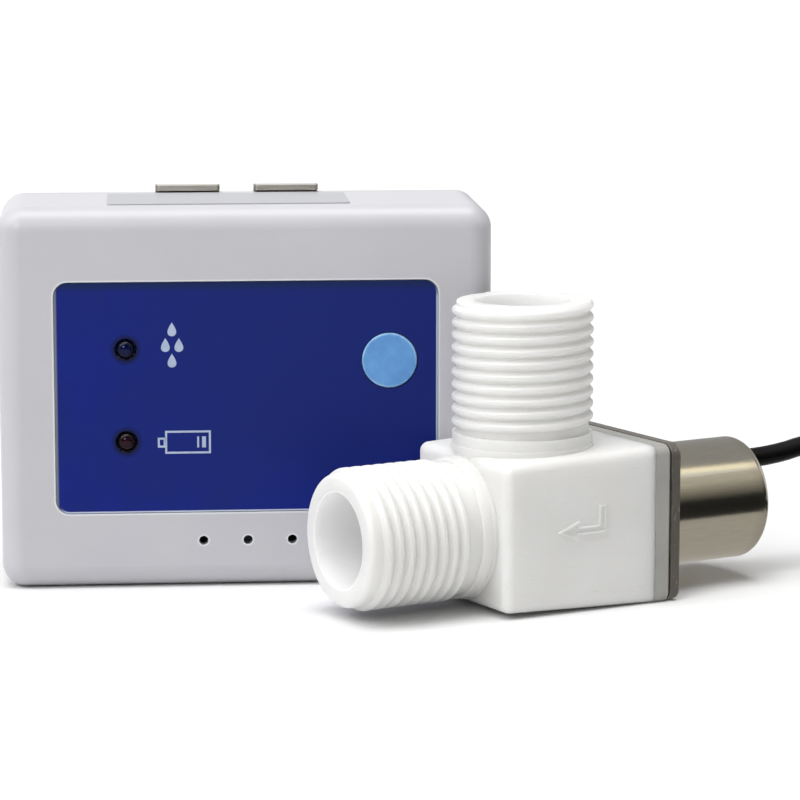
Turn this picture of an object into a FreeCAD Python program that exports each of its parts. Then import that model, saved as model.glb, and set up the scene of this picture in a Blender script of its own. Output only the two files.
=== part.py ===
import FreeCAD, Part
import math
import os
import re
import Sketcher

# A battery-powered water leak detector: a control box and the shut-off valve that it drives.
# X points right, Y to the rear and Z up, in millimetres.
# The origin is on the floor under the middle of the control box.
# In the valve's own frame X runs from the outlet to the coil and its origin is under the inlet.

SIZES = {
    # case
    "box_width": 73.6,
    "box_height": 57.2,
    "box_depth": 25.8,
    "wall": 2.0,
    "corner_radius": 3.6,
    "front_edge_radius": 3.3,
    "cover_thickness": 2.4,
    "rear_edge_radius": 0.8,
    "fit_gap": 0.15,
    "free_gap": 0.3,
    "pilot_gap": 0.03,
    # label film on the front
    "label_width": 57.0,
    "label_height": 34.6,
    "label_middle": 28.8,
    "label_corner": 2.0,
    "label_thickness": 0.4,
    "label_recess": 0.5,
    # sounder holes and sounder
    "sound_hole_radius": 0.7,
    "sound_hole_pitch": 6.65,
    "sound_hole_height": 7.1,
    "sounder_radius": 7.5,
    "sounder_height": 11.0,
    "sounder_port_radius": 1.0,
    "sounder_port_depth": 2.0,
    # indicator lamps
    "lamp_radius": 1.5,
    "lamp_inset": 10.5,
    "leak_lamp_drop": 10.0,
    "cell_lamp_rise": 10.7,
    "lamp_length": 5.3,
    "lamp_flange_radius": 1.9,
    "lamp_flange_length": 0.8,
    "lamp_proud": 0.5,
    "lamp_dome_radius": 1.35,
    "lamp_lead_radius": 0.25,
    "lamp_lead_spacing": 2.54,
    "lamp_lead_tail": 0.5,
    # push button and its switch
    "button_radius": 4.12,
    "button_inset": 7.2,
    "button_drop": 12.0,
    "button_proud": 0.2,
    "button_flange_width": 0.9,
    "button_flange_thickness": 0.7,
    "button_stop_gap": 0.2,
    "button_travel": 0.35,
    "button_boss_radius": 1.5,
    "button_boss_length": 0.25,
    "button_edge": 0.2,
    "switch_width": 6.0,
    "switch_thickness": 3.5,
    "switch_plunger_radius": 1.7,
    "switch_bore_depth": 2.0,
    # circuit board
    "board_width": 56.0,
    "board_bottom": 5.4,
    "board_top_inset": 2.8,
    "board_thickness": 1.6,
    "board_corner": 1.5,
    "board_space": 6.0,
    "board_screw_across": 25.5,
    "board_screw_low": 8.1,
    "board_boss_radius": 2.1,
    "board_screw_radius": 0.9,
    "board_screw_length": 5.6,
    "board_screw_head_radius": 1.8,
    "board_screw_head_height": 1.2,
    # parts on the board
    "part_edge": 0.4,
    "chip_length": 8.6,
    "chip_width": 3.9,
    "chip_thickness": 1.5,
    "chip_leg_pitch": 1.27,
    "chip_leg_width": 0.4,
    "chip_leg_reach": 1.0,
    "chip_leg_thickness": 0.25,
    "driver_length": 4.9,
    "chip_across": 4.0,
    "chip_height": 41.0,
    "driver_across": 8.0,
    "driver_height": 29.0,
    "capacitor_radius": 3.15,
    "capacitor_length": 5.3,
    "capacitor_groove": 0.3,
    "capacitor_groove_at": 1.2,
    "capacitor_across": 4.0,
    "capacitor_height": 22.0,
    # screws of the case
    "case_screw_inset": 5.2,
    "case_boss_radius": 2.6,
    "case_screw_radius": 1.1,
    "case_screw_length": 11.0,
    "case_screw_head_radius": 1.9,
    "case_screw_head_height": 1.3,
    "slot_width": 0.5,
    "slot_depth": 0.5,
    # battery bay, door and cells
    "cell_radius": 5.25,
    "cell_length": 43.7,
    "cell_nub_radius": 1.9,
    "cell_nub_length": 0.8,
    "cell_pitch": 10.9,
    "cell_edge_radius": 0.4,
    "bay_wall": 1.2,
    "door_thickness": 1.5,
    "door_ledge": 0.8,
    "door_corner": 1.2,
    "door_tab_width": 5.0,
    "door_tab_reach": 1.0,
    "door_tab_depth": 0.8,
    "door_tab_inset": 8.0,
    "door_rib_width": 0.8,
    "door_rib_height": 0.4,
    "door_rib_pitch": 1.8,
    "door_rib_count": 5,
    "door_rib_length": 14.0,
    "contact_thickness": 0.4,
    "contact_width": 8.0,
    "contact_dimple_radius": 1.8,
    "contact_dimple_reach": 1.1,
    "cell_spring_wire": 0.7,
    "cell_spring_length": 3.7,
    "cell_spring_radius": 3.0,
    "cell_spring_turns": 3,
    # water-sensing plates on the top
    "plate_length": 9.9,
    "plate_thickness": 0.8,
    "plate_lift": 0.3,
    "plate_depth": 3.3,
    "plate_drop": 5.0,
    "plate_bend": 0.9,
    "plate_corner": 0.5,
    "left_plate_across": -8.2,
    "right_plate_across": 7.0,
    "pin_drop": 3.9,
    "pin_head_radius": 1.5,
    "pin_head_height": 0.6,
    "pin_shank_radius": 0.8,
    "pin_tail_radius": 0.45,
    "pin_tail_reach": 0.6,
    # sticker on the top
    "sticker_length": 36.3,
    "sticker_width": 16.4,
    "sticker_across": -2.4,
    "sticker_middle": -0.1,
    "sticker_corner": 0.8,
    "sticker_thickness": 0.15,
    # socket for the valve's plug
    "jack_height": 14.0,
    "jack_width": 6.0,
    "jack_thickness": 5.0,
    "jack_length": 13.0,
    "jack_nose_radius": 2.5,
    "jack_nose_inset": 0.4,
    "jack_wall_gap": 0.6,
    "jack_bore_radius": 1.8,
    "jack_bore_depth": 14.2,
    # place of the valve beside the box
    "valve_x": 40.0,
    "valve_y": -24.2,
    "valve_yaw": 26.0,
    "line_height": 11.7,
    # moulded body of the valve
    "body_outlet_end": 10.6,
    "body_flange_end": 14.8,
    "body_width_outlet": 24.9,
    "body_height_outlet": 21.8,
    "body_width_flange": 26.6,
    "body_edge_radius": 1.4,
    "nozzle_bore_radius": 7.0,
    "nozzle_foot_length": 0.6,
    "nozzle_collar_radius": 10.3,
    "nozzle_collar_length": 2.2,
    "inlet_rim_round": 0.25,
    "outlet_rim_round": 0.8,
    "inlet_thread_lead": -1.0,
    "outlet_thread_lead": 0.8,
    "nozzle_sink": 2.0,
    "outlet_length": 20.5,
    "inlet_top": 44.5,
    "thread_radius": 10.4775,
    "thread_pitch": 1.814,
    "thread_depth": 0.75,
    "thread_ease": 0.08,
    "thread_sink": 0.3,
    "thread_crest": 0.36,
    "thread_crest_round": 0.22,
    "thread_shoulder": 0.9,
    "thread_root_land": 0.25,
    "thread_parting": 90.0,
    "throat_radius": 6.0,
    "throat_top": 28.0,
    "arrow_line": 0.3,
    "arrow_proud": 0.35,
    "arrow_tip": -1.9,
    "arrow_head_back": 1.6,
    "arrow_head_half": 1.5,
    "arrow_middle": 12.1,
    "arrow_shaft_half": 0.6,
    "arrow_leg_near": 5.0,
    "arrow_leg_far": 6.2,
    "arrow_leg_top": 15.6,
    # strainer in the inlet
    "screen_seat_radius": 6.6,
    "screen_rim": 1.0,
    "screen_height": 1.2,
    "screen_web": 0.4,
    "screen_hole_radius": 0.5,
    "screen_hole_pitch": 1.55,
    "screen_hole_rings": 3,
    # seat, diaphragm and chamber
    "seat_bore_radius": 4.5,
    "seat_wall": 1.5,
    "seat_at": 8.8,
    "chamber_radius": 9.0,
    "chamber_start": -6.6,
    "rim_radius": 10.6,
    "rim_shoulder": 9.6,
    "rim_thickness": 1.5,
    "bead_width": 1.3,
    "web_thickness": 0.7,
    "disc_radius": 6.4,
    "disc_thickness": 2.5,
    "seat_gap": 0.1,
    "disc_orifice_radius": 0.6,
    "control_radius": 8.8,
    "control_depth": 2.5,
    # bonnet and plate
    "bonnet_thickness": 2.8,
    "bonnet_bevel": 0.5,
    "flange_plate_thickness": 1.5,
    "flange_corner": 1.8,
    "flange_screw_inset": 3.0,
    "flange_screw_radius": 1.1,
    "flange_screw_head_radius": 2.0,
    "flange_screw_length": 9.0,
    # solenoid
    "tube_inner_radius": 3.6,
    "tube_wall": 0.7,
    "tube_flange_radius": 6.0,
    "tube_flange_thickness": 0.7,
    "tube_end": 33.4,
    "plunger_clearance": 0.08,
    "plunger_length": 15.5,
    "plunger_travel": 1.6,
    "plunger_pocket_radius": 2.3,
    "plunger_pocket_depth": 5.0,
    "plunger_tip_radius": 1.6,
    "plunger_tip_depth": 1.5,
    "core_gap": 0.3,
    "spring_wire": 0.4,
    "spring_radius": 1.75,
    "spring_turns": 5,
    "ring_wire": 1.0,
    "ring_squeeze": 0.05,
    "core_clearance": 0.05,
    "bobbin_start": 19.5,
    "bobbin_end": 33.0,
    "bobbin_wall": 0.8,
    "bobbin_radius": 7.8,
    "winding_radius": 7.4,
    "coil_lead_radius": 0.3,
    "coil_lead_spacing": 1.4,
    "magnet_radius": 4.6,
    "magnet_thickness": 2.0,
    "can_radius": 9.25,
    "can_wall": 0.8,
    "can_end": 39.0,
    "can_end_round": 1.5,
    # cord
    "cord_radius": 1.5,
    "cord_rise": 5.6,
    "grommet_wall": 0.45,
    "grommet_proud": 1.2,
    "grommet_round": 0.3,
    "coil_inner_radius": 11.25,
    "coil_step": 3.5,
    "coil_layer_rise": 3.45,
    "coil_half_turns": 7,
    "coil_exit_swing": 1.5,
    # plug on the cord
    "plug_radius": 4.9,
    "plug_length": 17.0,
    "plug_neck_radius": 2.6,
    "plug_neck_length": 5.0,
    "plug_neck_end_radius": 3.2,
    "plug_shoulder": 1.2,
    "plug_edge": 0.6,
    "plug_pin_radius": 1.75,
    "plug_sleeve_length": 9.0,
    "plug_ring_length": 1.0,
    "plug_tip_length": 3.8,
    "plug_tip_waist": 0.5,
}

# Places that several pieces share. Those of the case are measured out from its middle towards its front.
DERIVED = {
    "front_face": "box_depth / 2",
    "rear_face": "-box_depth / 2",
    "inner_front": "box_depth / 2 - wall",
    "seam_face": "cover_thickness - box_depth / 2",
    "board_front": "box_depth / 2 - wall - board_space",
    "board_rear": "box_depth / 2 - wall - board_space - board_thickness",
    "film_face": "box_depth / 2 - label_recess + label_thickness",
    "label_low": "label_middle - label_height / 2",
    "label_high": "label_middle + label_height / 2",
    "button_across": "label_width / 2 - button_inset",
    "button_height": "label_high - button_drop",
    "lamp_across": "label_width / 2 - lamp_inset",
    "leak_lamp_height": "label_high - leak_lamp_drop",
    "cell_lamp_height": "label_low + cell_lamp_rise",
    "board_top": "box_height - board_top_inset",
    "board_screw_high": "box_height - board_screw_low",
    "case_screw_across": "box_width / 2 - case_screw_inset",
    "cell_line": "door_thickness - box_depth / 2 + 2 * free_gap + cell_radius",
    "bay_floor": "door_thickness - box_depth / 2 + 3 * free_gap + 2 * cell_radius",
    "bay_half": "(cell_length + cell_nub_length + cell_spring_length + cell_spring_wire"
                " + contact_dimple_reach + 2 * contact_thickness + 2 * seat_gap) / 2",
    "cell_count": "floor((box_height - 2 * (pin_drop + pin_shank_radius + bay_wall + free_gap))"
                  " / cell_pitch)",
    "cell_row_middle": "box_height / 2",
    "bay_low": "cell_row_middle - cell_count / 2 * cell_pitch - fit_gap",
    "bay_high": "cell_row_middle + cell_count / 2 * cell_pitch + fit_gap",
    "door_tab_offset": "bay_high - cell_row_middle - door_tab_inset",
    "pin_up": "box_height - pin_drop",
    "jack_line": "box_depth / 2 - wall - board_space + jack_thickness / 2",
    "thread_root": "thread_radius - thread_depth",
    "thread_crest_radius": "thread_radius - thread_ease",
    "inlet_base": "body_height_outlet / 2 + (line_height - body_height_outlet / 2)"
                  " * body_outlet_end / (body_outlet_end + body_flange_end)",
    "inlet_length": "inlet_top - line_height - inlet_base",
    "screen_seat_top": "throat_top + screen_height + free_gap",
    "outlet_bore_end": "chamber_start - seat_wall",
    "spigot_start": "rim_shoulder + rim_thickness + seat_gap",
    "control_floor": "spigot_start + control_depth",
    "bonnet_end": "body_flange_end + bonnet_thickness",
    "can_start": "bonnet_end + flange_plate_thickness",
    "tube_outer": "tube_inner_radius + tube_wall",
    "disc_start": "seat_at + seat_gap",
    "disc_end": "disc_start + disc_thickness",
    "plunger_start": "disc_end + seat_gap",
    "plunger_end": "plunger_start + plunger_length",
    "core_start": "plunger_end + plunger_travel + core_gap",
    "grommet_start": "can_end - can_wall - 2 * grommet_wall",
    "grommet_end": "can_end + grommet_proud",
}

V = FreeCAD.Vector
doc = FreeCAD.newDocument("LeakDetector")
sheet = doc.addObject("Spreadsheet::Sheet", "Sizes")
cells = [(alias, str(number)) for alias, number in SIZES.items()]
cells += [(alias, "=" + text) for alias, text in DERIVED.items()]
for row, (alias, content) in enumerate(cells, start=1):
    sheet.set("A%d" % row, alias)
    sheet.set("B%d" % row, content)
    sheet.setAlias("B%d" % row, alias)
doc.recompute()


def size(alias):
    """One driving dimension, read back from the sheet."""
    return float(sheet.get(alias))


pieces = {}


def formula(text):
    """A formula for the document: each size name gets the sheet's name before it."""
    return re.sub(r"[a-z][a-z_]*[a-z]", r"Sizes.\g<0>", text)


def bind(item, values):
    for name, text in values.items():
        item.setExpression(name, formula(text))


def keep(item, label, place=None):
    """Name a finished sub-part and put it in its place."""
    item.Label = label
    if place is not None:
        item.Placement = place
    pieces[label] = item
    return item


# Sketches and sketched features

def new_body(name):
    return doc.addObject("PartDesign::Body", name)


def new_sketch(body, name, plane="XY_Plane", offset="0"):
    """A sketch on one of the body's own origin planes, moved along the plane's normal."""
    sketch = body.newObject("Sketcher::SketchObject", name)
    origin_plane = next(item for item in body.Origin.OriginFeatures if item.Role == plane)
    sketch.AttachmentSupport = [(origin_plane, "")]
    sketch.MapMode = "FlatFace"
    bind(sketch, {"AttachmentOffset.Base.z": offset})
    return sketch


def closed_lines(sketch, count):
    """A closed chain of lines. Returns the index of its first line."""
    first = sketch.GeometryCount
    ring = [V(math.cos(2 * math.pi * k / count), math.sin(2 * math.pi * k / count), 0) for k in range(count)]
    for k in range(count):
        sketch.addGeometry(Part.LineSegment(ring[k], ring[(k + 1) % count]), False)
    for k in range(count):
        sketch.addConstraint(Sketcher.Constraint("Coincident", first + k, 2, first + (k + 1) % count, 1))
    return first


def pin_point(sketch, line, end, across, up):
    """Hold one point of a sketch at two formulas from the origin."""
    for kind, text in (("DistanceX", across), ("DistanceY", up)):
        index = sketch.addConstraint(Sketcher.Constraint(kind, -1, 1, line, end, 1.0))
        sketch.setExpression("Constraints[%d]" % index, formula(text))


def polygon(sketch, points):
    first = closed_lines(sketch, len(points))
    for k, (across, up) in enumerate(points):
        pin_point(sketch, first + k, 1, across, up)
    return sketch


def rectangle(sketch, left, bottom, right, top):
    return polygon(sketch, [(left, bottom), (right, bottom), (right, top), (left, top)])


def circles(sketch, rings):
    """Circles given as (across, up, radius)."""
    for across, up, radius in rings:
        index = sketch.addGeometry(Part.Circle(V(0, 0, 0), V(0, 0, 1), 1.0), False)
        pin_point(sketch, index, 3, across, up)
        held = sketch.addConstraint(Sketcher.Constraint("Radius", index, 1.0))
        sketch.setExpression("Constraints[%d]" % held, formula(radius))
    return sketch


def pad(body, sketch, length, name="Pad"):
    """Add material up from the sketch."""
    feature = body.newObject("PartDesign::Pad", name)
    feature.Profile = sketch
    bind(feature, {"Length": length})
    body.Tip = feature
    doc.recompute()
    return feature


def pocket(body, sketch, length, name="Pocket", upward=False):
    """Cut away material down from the sketch, and check that something went."""
    before = body.Shape.Volume
    feature = body.newObject("PartDesign::Pocket", name)
    feature.Profile = sketch
    feature.Reversed = upward
    bind(feature, {"Length": length})
    body.Tip = feature
    doc.recompute()
    if not body.Shape.Volume < before - 1e-6:
        raise RuntimeError("%s of %s cuts nothing" % (name, body.Name))
    return feature


def ease(body, kind, amount, chosen, name="Ease"):
    """Round or bevel the edges of the body's last feature that the function chosen picks."""
    doc.recompute()
    base = body.Tip
    names = ["Edge%d" % (k + 1) for k, edge in enumerate(base.Shape.Edges) if chosen(edge)]
    if not names:
        raise RuntimeError("no edge to ease on " + body.Name)
    feature = body.newObject("PartDesign::" + kind, name)
    feature.Base = (base, names)
    bind(feature, {"Radius" if kind == "Fillet" else "Size": amount})
    body.Tip = feature
    doc.recompute()
    return feature


def along(edge, axis):
    """Whether an edge is a straight line along one axis, 0 to 2."""
    if edge.Curve.TypeId != "Part::GeomLine":
        return False
    return abs(abs(edge.Curve.Direction[axis]) - 1) < 1e-6


def at_level(edge, axis, level, slack=1e-4):
    """Whether a whole edge lies in the plane at this level of one axis."""
    box = edge.BoundBox
    low = (box.XMin, box.YMin, box.ZMin)[axis]
    high = (box.XMax, box.YMax, box.ZMax)[axis]
    return abs(low - level) < slack and abs(high - level) < slack


def turned(name, outline, eased=()):
    """A body of revolution about its own X axis, from (along, radius) formulas."""
    body = new_body(name)
    sketch = polygon(new_sketch(body, name + "Outline"), outline)
    doc.recompute()
    feature = body.newObject("PartDesign::Revolution", name + "Turn")
    feature.Profile = sketch
    feature.ReferenceAxis = (sketch, ["H_Axis"])
    feature.Angle = 360.0
    body.Tip = feature
    doc.recompute()
    for kind, amount, level, radius in eased:
        ease(body, kind, amount, lambda edge: at_circle(edge, level, radius))
    return body


def at_circle(edge, level, radius):
    """Whether an edge is a circle about the X axis at this place and radius."""
    if edge.Curve.TypeId != "Part::GeomCircle":
        return False
    return at_level(edge, 0, level) and abs(edge.Curve.Radius - radius) < 1e-4


def slab(name, left, bottom, right, top, low, thickness, corner=None):
    """A flat body with rounded corners, padded up from low."""
    body = new_body(name)
    sketch = rectangle(new_sketch(body, name + "Outline", offset=low), left, bottom, right, top)
    pad(body, sketch, thickness)
    if corner:
        ease(body, "Fillet", corner, lambda edge: along(edge, 2), "Corners")
    return body


# Plain solids and their booleans

TURN = {
    "x": FreeCAD.Rotation(V(0, 1, 0), 90),
    "-x": FreeCAD.Rotation(V(0, 1, 0), -90),
    "y": FreeCAD.Rotation(V(1, 0, 0), -90),
    "z": FreeCAD.Rotation(),
}


def base_at(item, start):
    bind(item, {"Placement.Base." + letter: text for letter, text in zip("xyz", start)})
    return item


def rod(name, start, radius, length, axis="z"):
    item = doc.addObject("Part::Cylinder", name)
    item.Placement = FreeCAD.Placement(V(0, 0, 0), TURN[axis])
    bind(item, {"Radius": radius, "Height": length})
    return base_at(item, start)


def cone(name, start, first_radius, last_radius, length, axis="z"):
    item = doc.addObject("Part::Cone", name)
    item.Placement = FreeCAD.Placement(V(0, 0, 0), TURN[axis])
    bind(item, {"Radius1": first_radius, "Radius2": last_radius, "Height": length})
    return base_at(item, start)


def block(name, start, lengths):
    item = doc.addObject("Part::Box", name)
    bind(item, dict(zip(("Length", "Width", "Height"), lengths)))
    return base_at(item, start)


def joined(name, items):
    item = doc.addObject("Part::MultiFuse", name)
    item.Shapes = items
    return item


def less(name, base, tools):
    item = doc.addObject("Part::Cut", name)
    item.Base = base
    item.Tool = tools[0] if len(tools) == 1 else joined(name + "Tools", tools)
    return item


def group(name, items):
    item = doc.addObject("Part::Compound", name)
    item.Links = items
    return item


def screw(name, place, head, shank, length, sunk):
    """A slotted screw along -X from its head's outer face. head is (radius, height)."""
    head_solid = (
        cone(name + "Head", ("-" + head[1], "0", "0"), shank, head[0], head[1], "x")
        if sunk
        else rod(name + "Head", ("-" + head[1], "0", "0"), head[0], head[1], "x")
    )
    stem = rod(name + "Stem", ("-%s - (%s)" % (head[1], length), "0", "0"), shank, length, "x")
    slot = block(
        name + "Slot",
        ("-slot_depth", "-slot_width / 2", "-" + head[0]),
        ("2 * slot_depth", "slot_width", "2 * " + head[0]),
    )
    whole = less(name, joined(name + "Blank", [head_solid, stem]), [slot])
    whole.Placement = place
    return whole


# Frames: the case's front face, the case's rear face and the valve

def facing(across, up, out=0.0):
    """For turned pieces: their X axis points out of the front of the case."""
    return FreeCAD.Placement(V(across, -out, up), FreeCAD.Rotation(V(0, 0, 1), -90))


def backing(across, up, out):
    """For screws from behind: their X axis points out of the rear of the case."""
    return FreeCAD.Placement(V(across, out, up), FreeCAD.Rotation(V(0, 0, 1), 90))


FACE = FreeCAD.Placement(V(0, 0, 0), FreeCAD.Rotation(V(1, 0, 0), 90))
VALVE = FreeCAD.Placement(
    V(size("valve_x"), size("valve_y"), 0), FreeCAD.Rotation(V(0, 0, 1), size("valve_yaw"))
)
LINE = VALVE * FreeCAD.Placement(V(0, 0, size("line_height")), FreeCAD.Rotation())
STACK = LINE * FreeCAD.Placement(V(0, 0, 0), FreeCAD.Rotation(V(1, 1, 1), 120))

# The case's front cover: a deep moulded shell with bosses for the board and for the rear cover

CORNERS = [
    (across, up)
    for across in ("-case_screw_across", "case_screw_across")
    for up in ("case_screw_inset", "box_height - case_screw_inset")
]
BOARD_SCREWS = [
    (across, up)
    for across in ("-board_screw_across", "board_screw_across")
    for up in ("board_screw_low", "board_screw_high")
]
FRONT_HOLES = [
    ("button_across", "button_height", "button_radius + fit_gap"),
    ("-lamp_across", "leak_lamp_height", "lamp_radius + fit_gap"),
    ("-lamp_across", "cell_lamp_height", "lamp_radius + fit_gap"),
]
SOUND_HOLES = [("%d * sound_hole_pitch" % k, "sound_hole_height", "sound_hole_radius") for k in (-1, 0, 1)]
PLATE_PINS = [("left_plate_across", "pin_up"), ("right_plate_across", "pin_up")]


def rings(places, radius):
    return [(across, up, radius) for across, up in places]


front_out = size("front_face")
cover = slab("FrontCover", "-box_width / 2", "0", "box_width / 2", "box_height",
             "seam_face", "front_face - seam_face", "corner_radius")
ease(cover, "Fillet", "front_edge_radius", lambda edge: at_level(edge, 2, front_out), "FrontEdge")
sketch = rectangle(new_sketch(cover, "Inside", offset="inner_front"),
                   "wall - box_width / 2", "wall", "box_width / 2 - wall", "box_height - wall")
pocket(cover, sketch, "inner_front - seam_face", "Hollow")
inner_across = size("box_width") / 2 - size("wall")
ease(cover, "Fillet", "corner_radius - wall",
     lambda edge: along(edge, 2) and abs(abs(edge.CenterOfMass.x) - inner_across) < 1e-4, "InnerCorners")
sketch = circles(new_sketch(cover, "CaseBossRings", offset="seam_face"), rings(CORNERS, "case_boss_radius"))
pad(cover, sketch, "inner_front - seam_face", "CaseBosses")
sketch = circles(new_sketch(cover, "BoardBossRings", offset="board_front"),
                 rings(BOARD_SCREWS, "board_boss_radius"))
pad(cover, sketch, "board_space", "BoardBosses")
sketch = circles(new_sketch(cover, "CasePilotRings", offset="seam_face"),
                 rings(CORNERS, "case_screw_radius + pilot_gap"))
pocket(cover, sketch, "case_screw_length + case_screw_head_height - cover_thickness + free_gap",
       "CasePilots", upward=True)
sketch = circles(new_sketch(cover, "BoardPilotRings", offset="board_front"),
                 rings(BOARD_SCREWS, "board_screw_radius + pilot_gap"))
pocket(cover, sketch, "board_screw_length - board_thickness + free_gap", "BoardPilots", upward=True)
sketch = rectangle(new_sketch(cover, "LabelSeat", offset="front_face"),
                   "-label_width / 2 - fit_gap", "label_low - fit_gap",
                   "label_width / 2 + fit_gap", "label_high + fit_gap")
pocket(cover, sketch, "label_recess", "LabelRecess")
seat_across = size("label_width") / 2 + size("fit_gap")
ease(cover, "Fillet", "label_corner + fit_gap",
     lambda edge: along(edge, 2) and abs(abs(edge.CenterOfMass.x) - seat_across) < 1e-4, "RecessCorners")
sketch = circles(new_sketch(cover, "FrontHoleRings", offset="front_face"), FRONT_HOLES + SOUND_HOLES)
pocket(cover, sketch, "wall + fit_gap", "FrontHoles")
sketch = circles(new_sketch(cover, "JackHoleRing", "YZ_Plane", "wall + fit_gap - box_width / 2"),
                 [("jack_height", "jack_line", "jack_nose_radius + fit_gap")])
pocket(cover, sketch, "wall + 2 * fit_gap", "JackHole")
keep(cover, "front_cover", FACE)

# The printed film in its recess

film = slab("Film", "-label_width / 2", "label_low", "label_width / 2", "label_high",
            "film_face - label_thickness", "label_thickness", "label_corner")
pocket(film, circles(new_sketch(film, "FilmHoleRings", offset="front_face"), FRONT_HOLES), "2 * label_recess")
keep(film, "label_film", FACE)

# The rear cover: its plate, the battery bay moulded on it and the seat of the battery door

rear = slab("RearCover", "-box_width / 2", "0", "box_width / 2", "box_height",
            "rear_face", "cover_thickness", "corner_radius")
ease(rear, "Fillet", "rear_edge_radius", lambda edge: at_level(edge, 2, -front_out), "RearEdge")
sketch = rectangle(new_sketch(rear, "BayOutline", offset="seam_face"), "-bay_half - bay_wall",
                   "bay_low - bay_wall", "bay_half + bay_wall", "bay_high + bay_wall")
pad(rear, sketch, "bay_floor + bay_wall - seam_face", "BayBlock")
sketch = rectangle(new_sketch(rear, "BayInside", offset="bay_floor"),
                   "-bay_half", "bay_low", "bay_half", "bay_high")
pocket(rear, sketch, "bay_floor - rear_face + fit_gap", "Bay")
sketch = rectangle(new_sketch(rear, "DoorSeat", offset="rear_face + door_thickness + free_gap"),
                   "-bay_half - door_ledge", "bay_low - door_ledge",
                   "bay_half + door_ledge", "bay_high + door_ledge")
pocket(rear, sketch, "door_thickness + 2 * free_gap", "DoorRecess")
DOOR_TABS = ["(cell_row_middle - door_tab_offset)", "(cell_row_middle + door_tab_offset)"]
sketch = new_sketch(rear, "TabSlots", "YZ_Plane", "-bay_half - door_ledge")
for middle in DOOR_TABS:
    rectangle(sketch, middle + " - door_tab_width / 2 - free_gap", "rear_face + door_tab_depth - fit_gap",
              middle + " + door_tab_width / 2 + free_gap", "rear_face + door_thickness + 2 * free_gap")
pocket(rear, sketch, "door_tab_reach + fit_gap", "TabPockets")
sketch = circles(new_sketch(rear, "CaseScrewRings", offset="seam_face"),
                 rings(CORNERS, "case_screw_radius + fit_gap"))
pocket(rear, sketch, "cover_thickness + fit_gap", "CaseScrewHoles")
sketch = circles(new_sketch(rear, "HeadRings", offset="rear_face + case_screw_head_height"),
                 rings(CORNERS, "case_screw_head_radius + fit_gap"))
pocket(rear, sketch, "case_screw_head_height + fit_gap", "HeadSinks")
sketch = circles(new_sketch(rear, "PinRings", offset="seam_face"),
                 rings(PLATE_PINS, "pin_shank_radius + pilot_gap"))
pocket(rear, sketch, "cover_thickness + fit_gap", "PinHoles")
keep(rear, "rear_cover", FACE)

# The battery door: two tabs hook in at its left edge, and it swings out to the rear

door = slab("Door", "-bay_half - door_ledge + fit_gap", "bay_low - door_ledge + fit_gap",
            "bay_half + door_ledge - fit_gap", "bay_high + door_ledge - fit_gap",
            "rear_face", "door_thickness", "door_corner")
sketch = new_sketch(door, "TabOutlines", offset="rear_face + door_tab_depth")
for middle in DOOR_TABS:
    rectangle(sketch, "-bay_half - door_ledge + fit_gap - door_tab_reach", middle + " - door_tab_width / 2",
              "-bay_half", middle + " + door_tab_width / 2")
pad(door, sketch, "door_thickness - door_tab_depth", "Tabs")
sketch = new_sketch(door, "GripOutlines", offset="rear_face + door_rib_height")
for k in range(int(size("door_rib_count"))):
    rib = "bay_half - %d * door_rib_pitch" % (k + 1)
    rectangle(sketch, rib, "cell_row_middle - door_rib_length / 2",
              rib + " + door_rib_width", "cell_row_middle + door_rib_length / 2")
pocket(door, sketch, "2 * door_rib_height", "GripGrooves")
keep(door, "battery_door", FACE)

# The cells lie across the bay and face left and right in turn

cell_count = int(size("cell_count"))
cell_end = size("bay_half") - size("contact_thickness") - size("contact_dimple_reach") - size("seat_gap")
cell_start = cell_end - size("cell_length") - size("cell_nub_length")
cell_heights = [size("bay_low") + size("fit_gap") + (k + 0.5) * size("cell_pitch") for k in range(cell_count)]
facings = [1 if k % 2 == 0 else -1 for k in range(cell_count)]
for k, (side, height) in enumerate(zip(facings, cell_heights)):
    cell = turned("Cell%d" % (k + 1),
                  [("0", "0"), ("0", "cell_radius"), ("cell_length", "cell_radius"),
                   ("cell_length", "cell_nub_radius"), ("cell_length + cell_nub_length", "cell_nub_radius"),
                   ("cell_length + cell_nub_length", "0")],
                  [("Fillet", "cell_edge_radius", 0.0, size("cell_radius")),
                   ("Fillet", "cell_edge_radius", size("cell_length"), size("cell_radius"))])
    turn = FreeCAD.Rotation(V(0, 0, 1), 0 if side > 0 else 180)
    start = V(side * cell_start, -size("cell_line"), height)
    keep(cell, "battery_%d" % (k + 1), FreeCAD.Placement(start, turn))

# Contact strips on the bay's end walls join the cells in one chain. A strip is (node, side, its cells).


def cell_up(k):
    """The height of one cell's middle."""
    return "(bay_low + fit_gap + %.1f * cell_pitch)" % (k + 0.5)


strips = [("contact_positive_end", facings[0], [0])]
for k in range(cell_count - 1):
    strips.append(("contact_bridge_%d_%d" % (k + 1, k + 2), -facings[k], [k, k + 1]))
strips.append(("contact_negative_end", -facings[-1], [cell_count - 1]))
for label, side, joins in strips:
    face = "bay_half - contact_thickness" if side > 0 else "-bay_half"
    length = "contact_width + %d * cell_pitch" % (len(joins) - 1)
    parts = [block(label + "_strip",
                   (face, "-cell_line - contact_width / 2", cell_up(joins[0]) + " - contact_width / 2"),
                   ("contact_thickness", "contact_width", length))]
    for k in joins:
        if facings[k] == side:
            start = "bay_half - contact_thickness" if side > 0 else "contact_thickness - bay_half"
            parts.append(rod("%s_dimple_%d" % (label, k), (start, "-cell_line", cell_up(k)),
                             "contact_dimple_radius", "contact_dimple_reach", "-x" if side > 0 else "x"))
    keep(joined(label + "_whole", parts) if len(parts) > 1 else parts[0], label)


# Wound wire: every half turn is two arcs that meet in one tangent

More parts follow.
